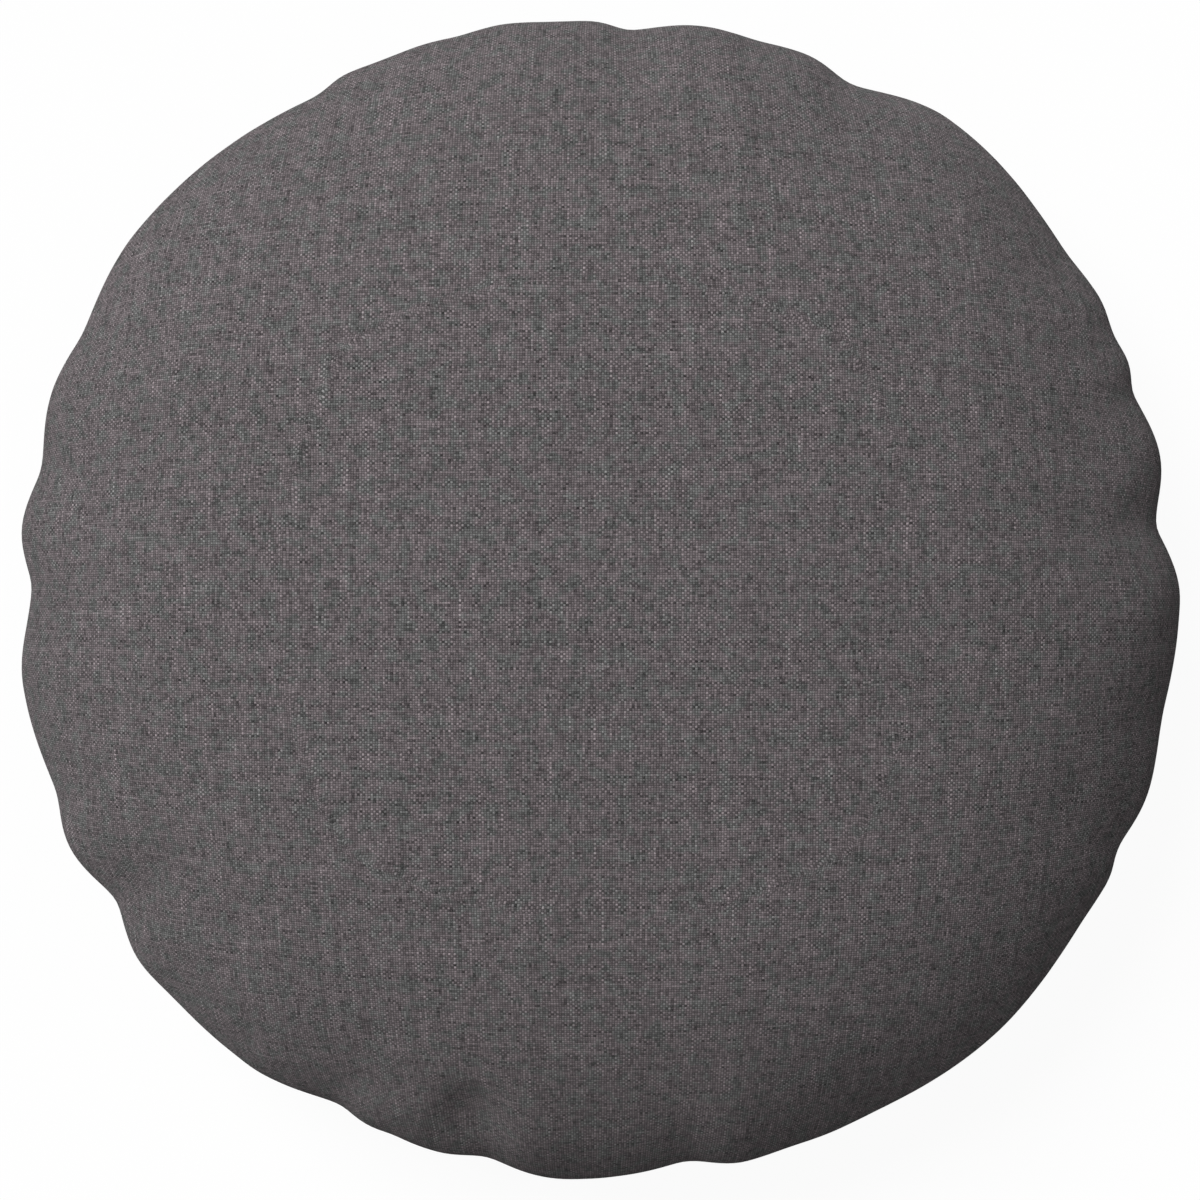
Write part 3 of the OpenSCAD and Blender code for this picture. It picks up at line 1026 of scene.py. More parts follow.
@dataclass(frozen=True)
class EdgeLine:
    """The line that the gathered edge seam takes: lobes that swell on the bias and notches between them."""

    sizes: Sizes
    # Whole degrees from +X, and how far the edge stands out (+) or is drawn in (-) there, in millimetres
    notches: tuple[tuple[int, float], ...] = (
        (7, -11.5), (21, -6.5), (27, -2.5), (36, 0.0), (64, -5.5), (74, -2.0), (87, -8.5), (95, -2.0),
        (104, -1.0), (112, 0.0), (119, -3.5), (153, -1.2), (167, -6.0), (179, -9.0), (200, -3.3),
        (212, -7.5), (223, 2.6),
        (243, -7.2), (249, -6.0), (259, -3.4), (279, -6.0), (289, 1.0), (298, 2.5), (326, 1.0), (334, -3.0),
        (349, -2.0),
    )
    crests: tuple[tuple[int, float], ...] = (
        (0, 0.0), (15, -1.5), (24, -1.0), (31, 2.0), (54, 7.5), (69, 0.5), (79, -0.5), (91, -2.5), (100, 0.5),
        (108, 0.5), (116, 1.0), (142, 6.5), (159, 2.0), (173, 0.0), (189, 2.3), (205, 2.0), (219, 4.0),
        (233, 2.6),
        (246, -3.8), (255, 1.0), (267, 2.2), (285, 1.5), (294, 2.5), (312, 6.0), (331, 1.5), (340, 2.3),
    )
    sharpness: float = 0.6
    # The roll of the seam draws the edge in, so the seam is sewn this much further out
    stand_out: float = 1.7 * MM
    # Slow rises of the seam: how many round the edge, how high in millimetres, and their phase in radians
    waves: tuple[tuple[int, float, float], ...] = ((5, 1.5, 0.4), (9, 2.5, 1.0), (14, 2.0, 2.2))

    def radius(self, angle: np.ndarray) -> np.ndarray:
        """Return the edge's distance from the middle at each angle, in radians.

        Args:
            angle: The angles.

        Returns:
            The distances.
        """
        kinds = ((self.notches, SeamTurn.NOTCH), (self.crests, SeamTurn.CREST))
        turns = sorted((place, offset, kind) for line, kind in kinds for place, offset in line)
        turns = [(turns[-1][0] - 360, *turns[-1][1:]), *turns, (turns[0][0] + 360, *turns[0][1:])]
        places = np.array([t[0] for t in turns], float)
        offsets = np.array([t[1] for t in turns]) * MM
        notched = np.array([t[2] is SeamTurn.NOTCH for t in turns])
        degrees = np.degrees(angle) % 360
        left = np.clip(np.searchsorted(places, degrees, side="right") - 1, 0, len(places) - 2)
        share = (degrees - places[left]) / (places[left + 1] - places[left])
        from_notch = np.where(notched[left], share, 1 - share)
        pinched = np.sin(from_notch * math.pi / 2)
        rise = self.sharpness * pinched + (1 - self.sharpness) * eased(from_notch)
        rise = np.where(notched[left], rise, 1 - rise)
        return self.sizes.edge_r + self.stand_out + offsets[left] * (1 - rise) + offsets[left + 1] * rise

    def height(self, angle: np.ndarray) -> np.ndarray:
        """Return the seam's height above the floor at each angle, in radians."""
        rises = (high * MM * np.sin(count * angle + start) for count, high, start in self.waves)
        return self.sizes.seam_z + sum(rises)


# --- The sewn cover -----------------------------------------------------------------------------------------


@dataclass
class PatternDisc:
    """A round cloth panel laid flat, as a square patch of quads with rings of quads round it."""

    cells: int = 64
    core: float = 0.5
    squareness: float = 0.35
    points: np.ndarray = field(init=False)
    quads: np.ndarray = field(init=False)
    rim: np.ndarray = field(init=False)

    def __post_init__(self) -> None:
        """Lay out the disc, with a radius of 1."""
        n = self.cells
        line = math.sqrt(2) * np.sin(np.linspace(-math.pi / 4, math.pi / 4, n + 1))
        u, v = np.meshgrid(line, line, indexing="ij")
        share, square = 1 - self.squareness, self.squareness * 0.8
        x = self.core * (share * u * np.sqrt(1 - v * v / 2) + square * u)
        y = self.core * (share * v * np.sqrt(1 - u * u / 2) + square * v)
        points = [np.stack([x, y], axis=-1).reshape(-1, 2)]
        index = np.arange((n + 1) ** 2).reshape(n + 1, n + 1)
        corners = (index[:-1, :-1], index[1:, :-1], index[1:, 1:], index[:-1, 1:])
        quads = [np.stack([c.ravel() for c in corners], axis=-1)]
        edge = np.concatenate([index[n, :-1], index[:0:-1, n], index[0, :0:-1], index[:-1, 0]])
        start_line, last = points[0][edge], edge
        angle = -math.pi / 4 + np.arange(4 * n) * math.pi / 2 / n
        circle = np.stack([np.cos(angle), np.sin(angle)], axis=-1)
        rings = round((1 - self.core) * 4 * n / (2 * math.pi))
        count = len(points[0])
        for ring in range(1, rings + 1):
            points.append(start_line + (circle - start_line) * ring / rings)
            ring_points = np.arange(count, count + 4 * n)
            quads.append(strip_quads([last, ring_points], closed=True, ahead=False))
            last = ring_points
            count += 4 * n
        self.points, self.quads, self.rim = np.concatenate(points), np.concatenate(quads), last


@dataclass(frozen=True)
class Tuck:
    """A short soft fold that runs in from the edge seam, where the cloth is caught by the sewing."""

    angle: float
    reach: float
    half_width: float
    depth: float
    # How far the fold leans from the straight way to the middle, in degrees
    lean: float = 0.0
    fade_below: float = 25 * MM
    # The width at the inner end, as a share of the width at the seam
    end_width: float = 0.6
    # The ridges beside the fold: their height as a share of its depth, and their place in widths
    ridge: float = 0.3
    ridge_place: float = 1.9
    # How much of the depth is lost at the seam
    seam_loss: float = 0.65

    def press(self, points: np.ndarray, edge_r: float, seam_z: float) -> None:
        """Press the fold into the cover.

        Args:
            points: The cloth's points, which are moved.
            edge_r: The distance of the seam from the middle.
            seam_z: The height of the seam.
        """
        turn = math.radians(self.angle)
        ahead = turn + math.pi + math.radians(self.lean)
        from_x = points[:, 0] - edge_r * math.cos(turn)
        from_y = points[:, 1] - edge_r * math.sin(turn)
        along = from_x * math.cos(ahead) + from_y * math.sin(ahead)
        across = from_y * math.cos(ahead) - from_x * math.sin(ahead)
        share = np.clip(1 - along / self.reach, 0, 1)
        width = self.half_width * (self.end_width + (1 - self.end_width) * share)
        beside = (np.abs(across) - self.ridge_place * width) / width
        groove = np.exp(-(across / width) ** 2) - self.ridge * np.exp(-beside ** 2)
        fade = eased(share * 1.6) * (1 - self.seam_loss * eased((share - 0.6) * 2.5))
        fade *= eased(1 - (seam_z - points[:, 2]) / self.fade_below)
        near = np.hypot(from_x, from_y) < self.reach + 3 * self.half_width
        inwards = unit(np.array([0.0, 0.0, seam_z]) - points)
        points += inwards * (self.depth * groove * fade * near)[:, None]


class Panel(Enum):
    """The cover's panels, by the material number that marks their quads while they are sewn together."""

    TOP = 0
    BOTTOM_FRONT = 1
    BOTTOM_REAR = 2


@dataclass
class SewnCover:
    """Two flat discs sewn along their rims and filled by a cloth simulation, then smoothed and tucked."""

    sizes: Sizes
    edge: EdgeLine
    disc: PatternDisc
    pattern_r: float = 363.5 * MM
    # How much of the fullness at the seam is eased in by the sewing: the rest falls in folds
    eased_in: float = 0.75
    frames: int = 30
    fullness: float = 5.0
    tension: float = 40.0
    slack: float = 5.0
    shear: float = 5.0
    bend: float = 0.5
    # How the taut cloth's section flattens towards the seam: 1 is a quarter circle
    section_power: float = 1.04
    # The patch on the floor that holds the cloth while it fills, and how softly it lets go
    held_r: float = 215 * MM
    held_fade: float = 30 * MM
    # Where the edge line starts to bend the cloth, and over how much of the radius
    bend_from: float = 0.74
    bend_over: float = 0.26
    # How much of the fine folding is kept, and which waves round the cushion count as fine
    fine_kept: float = 0.2
    fine_from: int = 5
    fine_over: int = 12
    # How many rings the smoothing takes to come in
    calm_rings: int = 8
    tucks: tuple[Tuck, ...] = (
        Tuck(angle=256.5, reach=62 * MM, half_width=22 * MM, depth=11 * MM, lean=8),
        Tuck(angle=9, reach=60 * MM, half_width=13 * MM, depth=2.5 * MM),
        Tuck(angle=346, reach=60 * MM, half_width=14 * MM, depth=1.5 * MM),
        Tuck(angle=183, reach=45 * MM, half_width=12 * MM, depth=1.2 * MM),
        Tuck(angle=279, reach=50 * MM, half_width=14 * MM, depth=1.5 * MM),
    )

    def __post_init__(self) -> None:
        """Work out the start of the filled shape and join the two discs."""
        disc = self.disc
        top, bottom = self._filled_top(), self._filled_bottom()
        inner = np.setdiff1d(np.arange(len(disc.points)), disc.rim)
        below = np.arange(len(disc.points))
        below[inner] = len(disc.points) + np.arange(len(inner))
        self.start = np.concatenate([top, bottom[inner]])
        self.flat = np.concatenate([disc.points, disc.points[inner]]) * self.pattern_r
        self.quads = np.concatenate([disc.quads, below[disc.quads][:, ::-1]])
        middle = self.flat[self.quads].mean(axis=1)
        is_top = np.arange(len(self.quads)) < len(disc.quads)
        lower = np.where(middle[:, 1] < 0, Panel.BOTTOM_FRONT.value, Panel.BOTTOM_REAR.value)
        self.panel_of = np.where(is_top, Panel.TOP.value, lower)
        self.count_top = len(disc.points)

    def _along(self, radii: np.ndarray, heights: np.ndarray) -> np.ndarray:
        """Lay the disc along a half section, and let the edge line bend its outer part.

        Args:
            radii: The section's distances from the middle, starting at the middle.
            heights: The section's heights.

        Returns:
            Where each of the disc's points is.
        """
        length = np.concatenate([[0.0], np.cumsum(np.hypot(np.diff(radii), np.diff(heights)))])
        rho = np.hypot(*self.disc.points.T)
        angle = np.arctan2(self.disc.points[:, 1], self.disc.points[:, 0])
        r = np.interp(rho * length[-1], length, radii)
        z = np.interp(rho * length[-1], length, heights)
        outer = eased((rho - self.bend_from) / self.bend_over)
        r = r * (1 + (self.edge.radius(angle) / self.sizes.edge_r - 1) * outer)
        z = z + (self.edge.height(angle) - self.sizes.seam_z) * outer
        return np.stack([r * np.cos(angle), r * np.sin(angle), z], axis=-1)

    def _filled_top(self) -> np.ndarray:
        """Return the top disc along a half ellipse.

        Returns:
            Where each of the disc's points is.
        """
        turn = np.linspace(0, math.pi / 2, 200)
        rise = self.sizes.crown_z - self.sizes.seam_z
        return self._along(self.sizes.edge_r * np.sin(turn), self.sizes.seam_z + rise * np.cos(turn))

    def _filled_bottom(self) -> np.ndarray:
        """Return the bottom disc along the flat patch and up to the seam.

        Returns:
            Where each of the disc's points is.
        """
        turn = np.linspace(0, math.pi / 2, 200)
        s = self.sizes
        radii = s.contact_r + (s.edge_r - s.contact_r) * np.sin(turn)
        heights = s.seam_z * (1 - np.cos(turn))
        return self._along(np.append(0.0, radii), np.append(0.0, heights))

    def _eased_cut(self) -> np.ndarray:
        """Return the unstrained shape of both discs: cut flat, then drawn in round the seam.

        Returns:
            Where each point is.
        """
        rho = np.hypot(*self.flat.T) / self.pattern_r
        angle = np.arctan2(self.flat[:, 1], self.flat[:, 0])
        length = np.linspace(0.0, 1.0, 200)
        taut = self.sizes.edge_r * np.sin(length ** self.section_power * math.pi / 2)
        around = (1 - self.eased_in) * length * self.pattern_r + self.eased_in * taut
        step = self.pattern_r / (len(length) - 1)
        fall = np.sqrt(np.maximum(step ** 2 - np.diff(around) ** 2, 0.0))
        depth = np.concatenate([[0.0], np.cumsum(fall)])
        r = np.interp(rho, length, around)
        z = depth[-1] - np.interp(rho, length, depth)
        z = np.where(np.arange(len(self.start)) < self.count_top, z, -z)
        return np.stack([r * np.cos(angle), r * np.sin(angle), z], axis=-1)

    def _held(self) -> np.ndarray:
        """Return how firmly each point is held: the seam and the patch on the floor.

        Returns:
            From 0, free, to 1, fixed.
        """
        held = np.zeros(len(self.start))
        held[self.disc.rim] = 1.0
        below = np.hypot(*self.flat[self.count_top:].T)
        held[self.count_top:] = np.clip((self.held_r - below) / self.held_fade, 0, 1)
        return held

    def fill(self, simulate: bool) -> QuadSheet:
        """Fill the cover and return it as one fine sheet.

        Args:
            simulate: False to leave out the cloth simulation.

        Returns:
            The settled cloth. Each quad's panel is in self.fine_panels.
        """
        piece = mesh_piece("cover_draft", self.start, self.quads, bpy.data.materials.new("draft"))
        if simulate:
            self._settle(piece)
        place = np.zeros(len(self.start) * 3, np.float32)
        piece.data.vertices.foreach_get("co", place)
        self.settled = self._calm(place.reshape(-1, 3).astype(float))
        for tuck in self.tucks:
            tuck.press(self.settled, self.sizes.edge_r, self.sizes.seam_z)
        piece.data.vertices.foreach_set("co", self.settled.astype(np.float32).ravel())
        for panel in list(Panel)[1:]:
            piece.data.materials.append(bpy.data.materials.new(panel.name.lower()))
        piece.data.polygons.foreach_set("material_index", self.panel_of.astype(np.int32))
        pattern = piece.data.uv_layers.new(name="pattern")
        pattern.data.foreach_set("uv", self.flat[self.quads.ravel()].astype(np.float32).ravel())
        finer = piece.modifiers.new("finer", "SUBSURF")
        finer.levels = finer.render_levels = 1
        finer.uv_smooth = "NONE"
        apply_modifiers(piece)
        sheet = self._read(piece)
        for material in list(piece.data.materials):
            bpy.data.materials.remove(material)
        bpy.data.meshes.remove(piece.data)
        return sheet

    def _calm(self, place: np.ndarray) -> np.ndarray:
        """Smooth out most of the fine folds round the cushion and bring the crown to its height.

        Args:
            place: The settled points.

        Returns:
            The points with the broad swelling kept.
        """
        ring = 4 * self.disc.cells
        core = (self.disc.cells + 1) ** 2
        turn = np.arctan2(self.start[:, 1], self.start[:, 0])
        out = np.stack([np.cos(turn), np.sin(turn), 0 * turn], axis=-1)
        moved = place - self.start
        sideways = out[:, 0] * moved[:, 1] - out[:, 1] * moved[:, 0]
        parts = np.stack([(moved * out).sum(axis=1), sideways, moved[:, 2]])
        order = np.arange(ring // 2 + 1)
        passed = 1 - (1 - self.fine_kept) * eased((order - self.fine_from) / self.fine_over)
        for block in (slice(core, self.count_top), slice(self.count_top + core, len(place))):
            rings = parts[:, block].reshape(3, -1, ring)
            calm = np.fft.irfft(np.fft.rfft(rings, axis=2) * passed, n=ring, axis=2)
            share = eased(np.arange(rings.shape[1]) / self.calm_rings)[None, :, None]
            parts[:, block] = (rings * (1 - share) + calm * share).reshape(3, -1)
        around = np.stack([-out[:, 1], out[:, 0], 0 * turn], axis=-1)
        place = self.start + out * parts[0][:, None] + around * parts[1][:, None]
        place[:, 2] += parts[2]
        above = np.maximum(place[:, 2] - self.sizes.seam_z, 0)
        place[:, 2] += above * ((self.sizes.crown_z - self.sizes.seam_z) / above.max() - 1)
        return place

    def _settle(self, piece: bpy.types.Object) -> None:
        """Run the cloth simulation on the joined discs and keep its result.

        Args:
            piece: The joined discs, whose points are moved.
        """
        piece.shape_key_add(name="Basis")
        cut = piece.shape_key_add(name="cut_and_eased")
        cut.data.foreach_set("co", self._eased_cut().astype(np.float32).ravel())
        group = piece.vertex_groups.new(name="held")
        held = self._held()
        for index in np.nonzero(held > 0)[0].tolist():
            group.add([index], float(held[index]), "REPLACE")
        cloth = piece.modifiers.new("filling", "CLOTH")
        s = cloth.settings
        s.quality = 5
        s.mass = 0.3
        s.tension_stiffness = self.tension
        s.compression_stiffness = self.slack
        s.shear_stiffness = self.shear
        s.bending_stiffness = self.bend
        s.air_damping = 1.0
        s.use_pressure = True
        s.uniform_pressure_force = self.fullness
        s.vertex_group_mass = "held"
        s.rest_shape_key = cut
        s.effector_weights.gravity = 0.0
        cloth.collision_settings.use_collision = False
        cloth.point_cache.frame_start = 1
        cloth.point_cache.frame_end = self.frames
        scene = bpy.context.scene
        for step in range(1, self.frames + 1):
            scene.frame_set(step)
        graph = bpy.context.evaluated_depsgraph_get()
        place = np.zeros(len(self.start) * 3, np.float32)
        piece.evaluated_get(graph).data.vertices.foreach_get("co", place)
        piece.modifiers.clear()
        piece.shape_key_clear()
        piece.data.vertices.foreach_set("co", place)
        piece.vertex_groups.clear()
        scene.frame_set(1)

    def coarse_halves(self) -> tuple[QuadSheet, QuadSheet]:
        """Return the top and underside after smoothing and tucking, before they are made finer.

        Returns:
            The top and the underside.
        """
        whole = QuadSheet(self.settled, self.flat, self.quads)
        is_top = self.panel_of == Panel.TOP.value
        return whole.part(is_top), whole.part(~is_top)

    def _read(self, piece: bpy.types.Object) -> QuadSheet:
        """Return a piece's mesh as a sheet, and note each quad's panel.

        Args:
            piece: The piece.

        Returns:
            The sheet.
        """
        mesh = piece.data
        points = np.zeros(len(mesh.vertices) * 3, np.float32)
        mesh.vertices.foreach_get("co", points)
        corners = np.zeros(len(mesh.loops), np.int32)
        mesh.loops.foreach_get("vertex_index", corners)
        uv = np.zeros(len(mesh.loops) * 2, np.float32)
        mesh.uv_layers["pattern"].data.foreach_get("uv", uv)
        flat = np.zeros((len(mesh.vertices), 2))
        flat[corners] = uv.reshape(-1, 2)
        panels = np.zeros(len(mesh.polygons), np.int32)
        mesh.polygons.foreach_get("material_index", panels)
        self.fine_panels = panels
        return QuadSheet(points.reshape(-1, 3).astype(float), flat, corners.reshape(-1, 4))


@dataclass(frozen=True)
class EdgeRoll:
    """How a panel's edge rolls in to its seam and carries on inside as its allowance."""

    allowance: float
    depth: float = 2.0 * MM
    width: float = 3.0 * MM
    row_shares: tuple[float, ...] = (0.12, 0.28, 0.5, 0.75)
    allowance_shares: tuple[float, ...] = (0.15, 0.5, 1.0)

    def turn_in(self, sheet: QuadSheet, rim: Sequence[int], up: int) -> np.ndarray:
        """Roll a panel's rim in and add its allowance.

        Args:
            sheet: The panel.
            rim: The panel's outer points, in order.
            up: 1 for a panel above the seam, -1 below.

        Returns:
            The points of the allowance's raw edge.
        """
        rim = np.array(rim)
        rows = sheet.insert_rows(rim, self.row_shares, closed=True)
        gap = np.linalg.norm(sheet.flat[rim] - sheet.flat[rows[0]], axis=1) / self.row_shares[0]
        for share, row in [(0.0, rim), *zip(self.row_shares, rows)]:
            away = np.clip(1 - share * gap / self.width, 0, 1)[:, None]
            sheet.points[row] += self.inwards(sheet.points[row]) * self.depth * away ** 2
        inwards = self.inwards(sheet.points[rim])
        steps = [share * self.allowance for share in self.allowance_shares]
        apart = np.array([0.0, 0.0, up * 0.3 * MM])
        places = [sheet.points[rim] + inwards * step + apart for step in steps]
        return sheet.extend(rim, places, closed=True, flat_steps=steps)[-1]

    @staticmethod
    def inwards(points: np.ndarray) -> np.ndarray:
        """Return the level direction from each point to the middle."""
        return unit(-points * np.array([1.0, 1.0, 0.0]))


@dataclass
class CoverTop:
    """The cover's round top panel."""

    sizes: Sizes
    cloth: bpy.types.Material
    fill: float = 0.85

    def build(self, sheet: QuadSheet) -> np.ndarray:
        """Build the panel from its part of the settled cloth.

        Args:
            sheet: The panel's quads.

        Returns:
            Where the edge seam runs.
        """
        rim = sheet.boundary()[0]
        EdgeRoll(self.sizes.allowance).turn_in(sheet, rim, up=1)
        piece = sheet.build("cover_top", self.sizes.fabric, self.cloth)
        place_piece(piece, "cushion", "cover_cloth", "cover_top_panel")
        return sheet.points[rim]


@dataclass
class CoverBottom:
    """The cover's two lower panels, with the zip's valley and lips and the seam that runs on from them."""

    sizes: Sizes
    cloth: bpy.types.Material
    thread: bpy.types.Material
    fold_r: float = 1.0 * MM
    pull_span: float = 30 * MM
    lip_end: float = 4 * MM
    fold_steps: int = 6
    # How far the turned-in hem reaches past its fold, row by row
    hem_rows: tuple[float, ...] = (2.5 * MM, 6.0 * MM, 10.0 * MM)
    stitch_pitch: float = 3.2 * MM
    # Where the centre seam ends, as a share of the cushion's radius
    seam_end: float = 0.955
    fill: float = 0.85

    def build(self, sheet: QuadSheet) -> None:
        """Build both panels from the lower part of the settled cloth.

        Args:
            sheet: The lower quads.
        """
        s = self.sizes
        EdgeRoll(s.allowance).turn_in(sheet, sheet.boundary()[0], up=-1)
        x, y = sheet.points[:, 0], sheet.points[:, 1]
        sheet.points[:, 2] += s.valley_lift(x, y, s.shelf, s.zip_z)
        rear = sheet.flat[sheet.quads][:, :, 1].mean(axis=1) > 0
        for name, node, side, chosen in (("front", "cover_bottom_panel_front", -1, ~rear),
                                         ("rear", "cover_bottom_panel_rear", 1, rear)):
            half = sheet.part(chosen)
            line = self._part_at_centre(half, side)
            if side > 0:
                self._stitch_centre(half.points[line])
            self._fold_hem(half, line, side)
            piece = half.build(f"cover_bottom_{name}", s.fabric, self.cloth)
            place_piece(piece, "cushion", "cover_cloth", node)

    def _part_at_centre(self, half: QuadSheet, side: int) -> np.ndarray:
        """Move a half back from the centre line, as far as the lips where the zip is.

        Args:
            half: The panel.
            side: -1 for the front panel, 1 for the rear.

        Returns:
            The panel's points along the centre line, in order.
        """
        loop = np.array(half.boundary()[0])
        central = np.abs(half.flat[loop, 1]) < 0.01 * MM
        first = np.nonzero(central & ~np.roll(central, 1))[0][0]
        loop, central = np.roll(loop, -first), np.roll(central, -first)
        line = loop[:np.nonzero(central)[0][-1] + 1]
        x, y = half.points[:, 0], half.points[:, 1]
        opened = 1 - eased((np.abs(x) - self.sizes.opening) / self.lip_end + 0.5)
        shift = (self.sizes.lip_y * opened + self.fold_r) * (1 - eased(np.abs(y) / self.pull_span))
        half.points[:, 1] += side * shift
        half.flat[:, 1] += side * shift
        return line

    def _fold_hem(self, half: QuadSheet, line: np.ndarray, side: int) -> None:
        """Fold the cloth along the centre line up and back on itself.

        Args:
            half: The panel.
            line: The panel's points along the centre line.
            side: -1 for the front panel, 1 for the rear.
        """
        inwards = unit(-half.normals()[line] * np.array([1.0, 0.0, 1.0]))
        back = np.array([0.0, side, 0.0])
        turn = np.linspace(0, math.pi, self.fold_steps + 1)[1:]
        steps = [(-self.fold_r * math.sin(a), self.fold_r * (1 - math.cos(a))) for a in turn]
        steps += [(reach, 2 * self.fold_r) for reach in self.hem_rows]
        places = [half.points[line] + back * a + inwards * b for a, b in steps]
        round_fold = [self.fold_r * math.pi / self.fold_steps] * self.fold_steps
        walked = np.cumsum([*round_fold, *np.diff(self.hem_rows, prepend=0.0)])
        half.extend(line, places, closed=False, flat_steps=walked.tolist())

    def _stitch_centre(self, line: np.ndarray) -> None:
        """Sew the seam that closes the centre line beyond the zip.

        Args:
            line: The centre line's points, in order.
        """
        level = line * np.array([1.0, 0.0, 1.0]) + np.array([0.0, 0.0, self.fold_r])
        ends = []
        for side in (-1, 1):
            out_from_middle = side * level[:, 0]
            beyond_zip = out_from_middle > self.sizes.opening
            seam = level[beyond_zip & (out_from_middle < self.seam_end * self.sizes.edge_r)]
            places, along = spaced(seam, self.stitch_pitch, closed=False)
            out = np.cross(along, np.array([0.0, 1.0, 0.0]))
            out *= np.where(out[:, 2:] > 0, -1.0, 1.0)
            ends.append(Stitch().lay(places, along, out))
        points = np.concatenate([ends[0][0], ends[1][0]])
        faces = ends[0][1] + [[i + len(ends[0][0]) for i in face] for face in ends[1][1]]
        piece = mesh_piece("centre_seam_stitches", points, faces, self.thread, outward=True)
        place_piece(piece, "cushion", "thread", "centre_seam_thread")


@dataclass
class EdgeSeam:
    """The threads of the edge seam: the stitches in its groove and the overlock on the raw edges."""

    sizes: Sizes
    thread: bpy.types.Material
    pitch: float = 3.2 * MM
    stitch_l: float = 2.6 * MM
    sunk: float = 0.2 * MM
    overlock_pitch: float = 2.6 * MM
    overlock_r: float = 0.2 * MM
    # Each loop of the overlock, as millimetres out from the raw edge and up from the seam
    overlock_loop: tuple[tuple[float, float], ...] = (
        (5.0, 1.3), (2.2, 1.35), (-0.3, 1.15), (-0.6, 0.0), (-0.3, -1.15), (2.2, -1.35), (5.0, -1.3),
        (3.0, -1.3),
    )

    def build(self, rim: np.ndarray) -> None:
        """Build the threads.

        Args:
            rim: Where the edge seam runs.
        """
        places, along = spaced(rim, self.pitch, closed=True)
        out = -EdgeRoll.inwards(places)
        points, faces = Stitch(length=self.stitch_l).lay(places - out * self.sunk, along, out)
        seam = mesh_piece("edge_seam_stitches", points, faces, self.thread, outward=True)
        place_piece(seam, "cushion", "thread", "edge_seam_thread")

        raw = rim + EdgeRoll.inwards(rim) * self.sizes.allowance
        steps = len(self.overlock_loop)
        turns = round(2 * math.pi * np.linalg.norm(raw[:, :2], axis=1).mean() / self.overlock_pitch)
        path, _ = spaced(raw, self.overlock_pitch / steps, closed=True)
        path = path[:turns * steps]
        loop = np.array(self.overlock_loop)[np.arange(len(path)) % steps] * MM
        path = path - EdgeRoll.inwards(path) * loop[:, :1] + np.array([0.0, 0.0, 1.0]) * loop[:, 1:]
        level = np.tile(np.array([0.0, 0.0, 1.0]), (len(path), 1)) + EdgeRoll.inwards(path) * 0.3
        points, faces = sweep(path, level, circle(self.overlock_r, 4))
        overlock = mesh_piece("edge_overlock", points, faces, self.thread, outward=True)
        place_piece(overlock, "cushion", "thread", "edge_overlock_thread")


# --- Zip and label ------------------------------------------------------------------------------------------


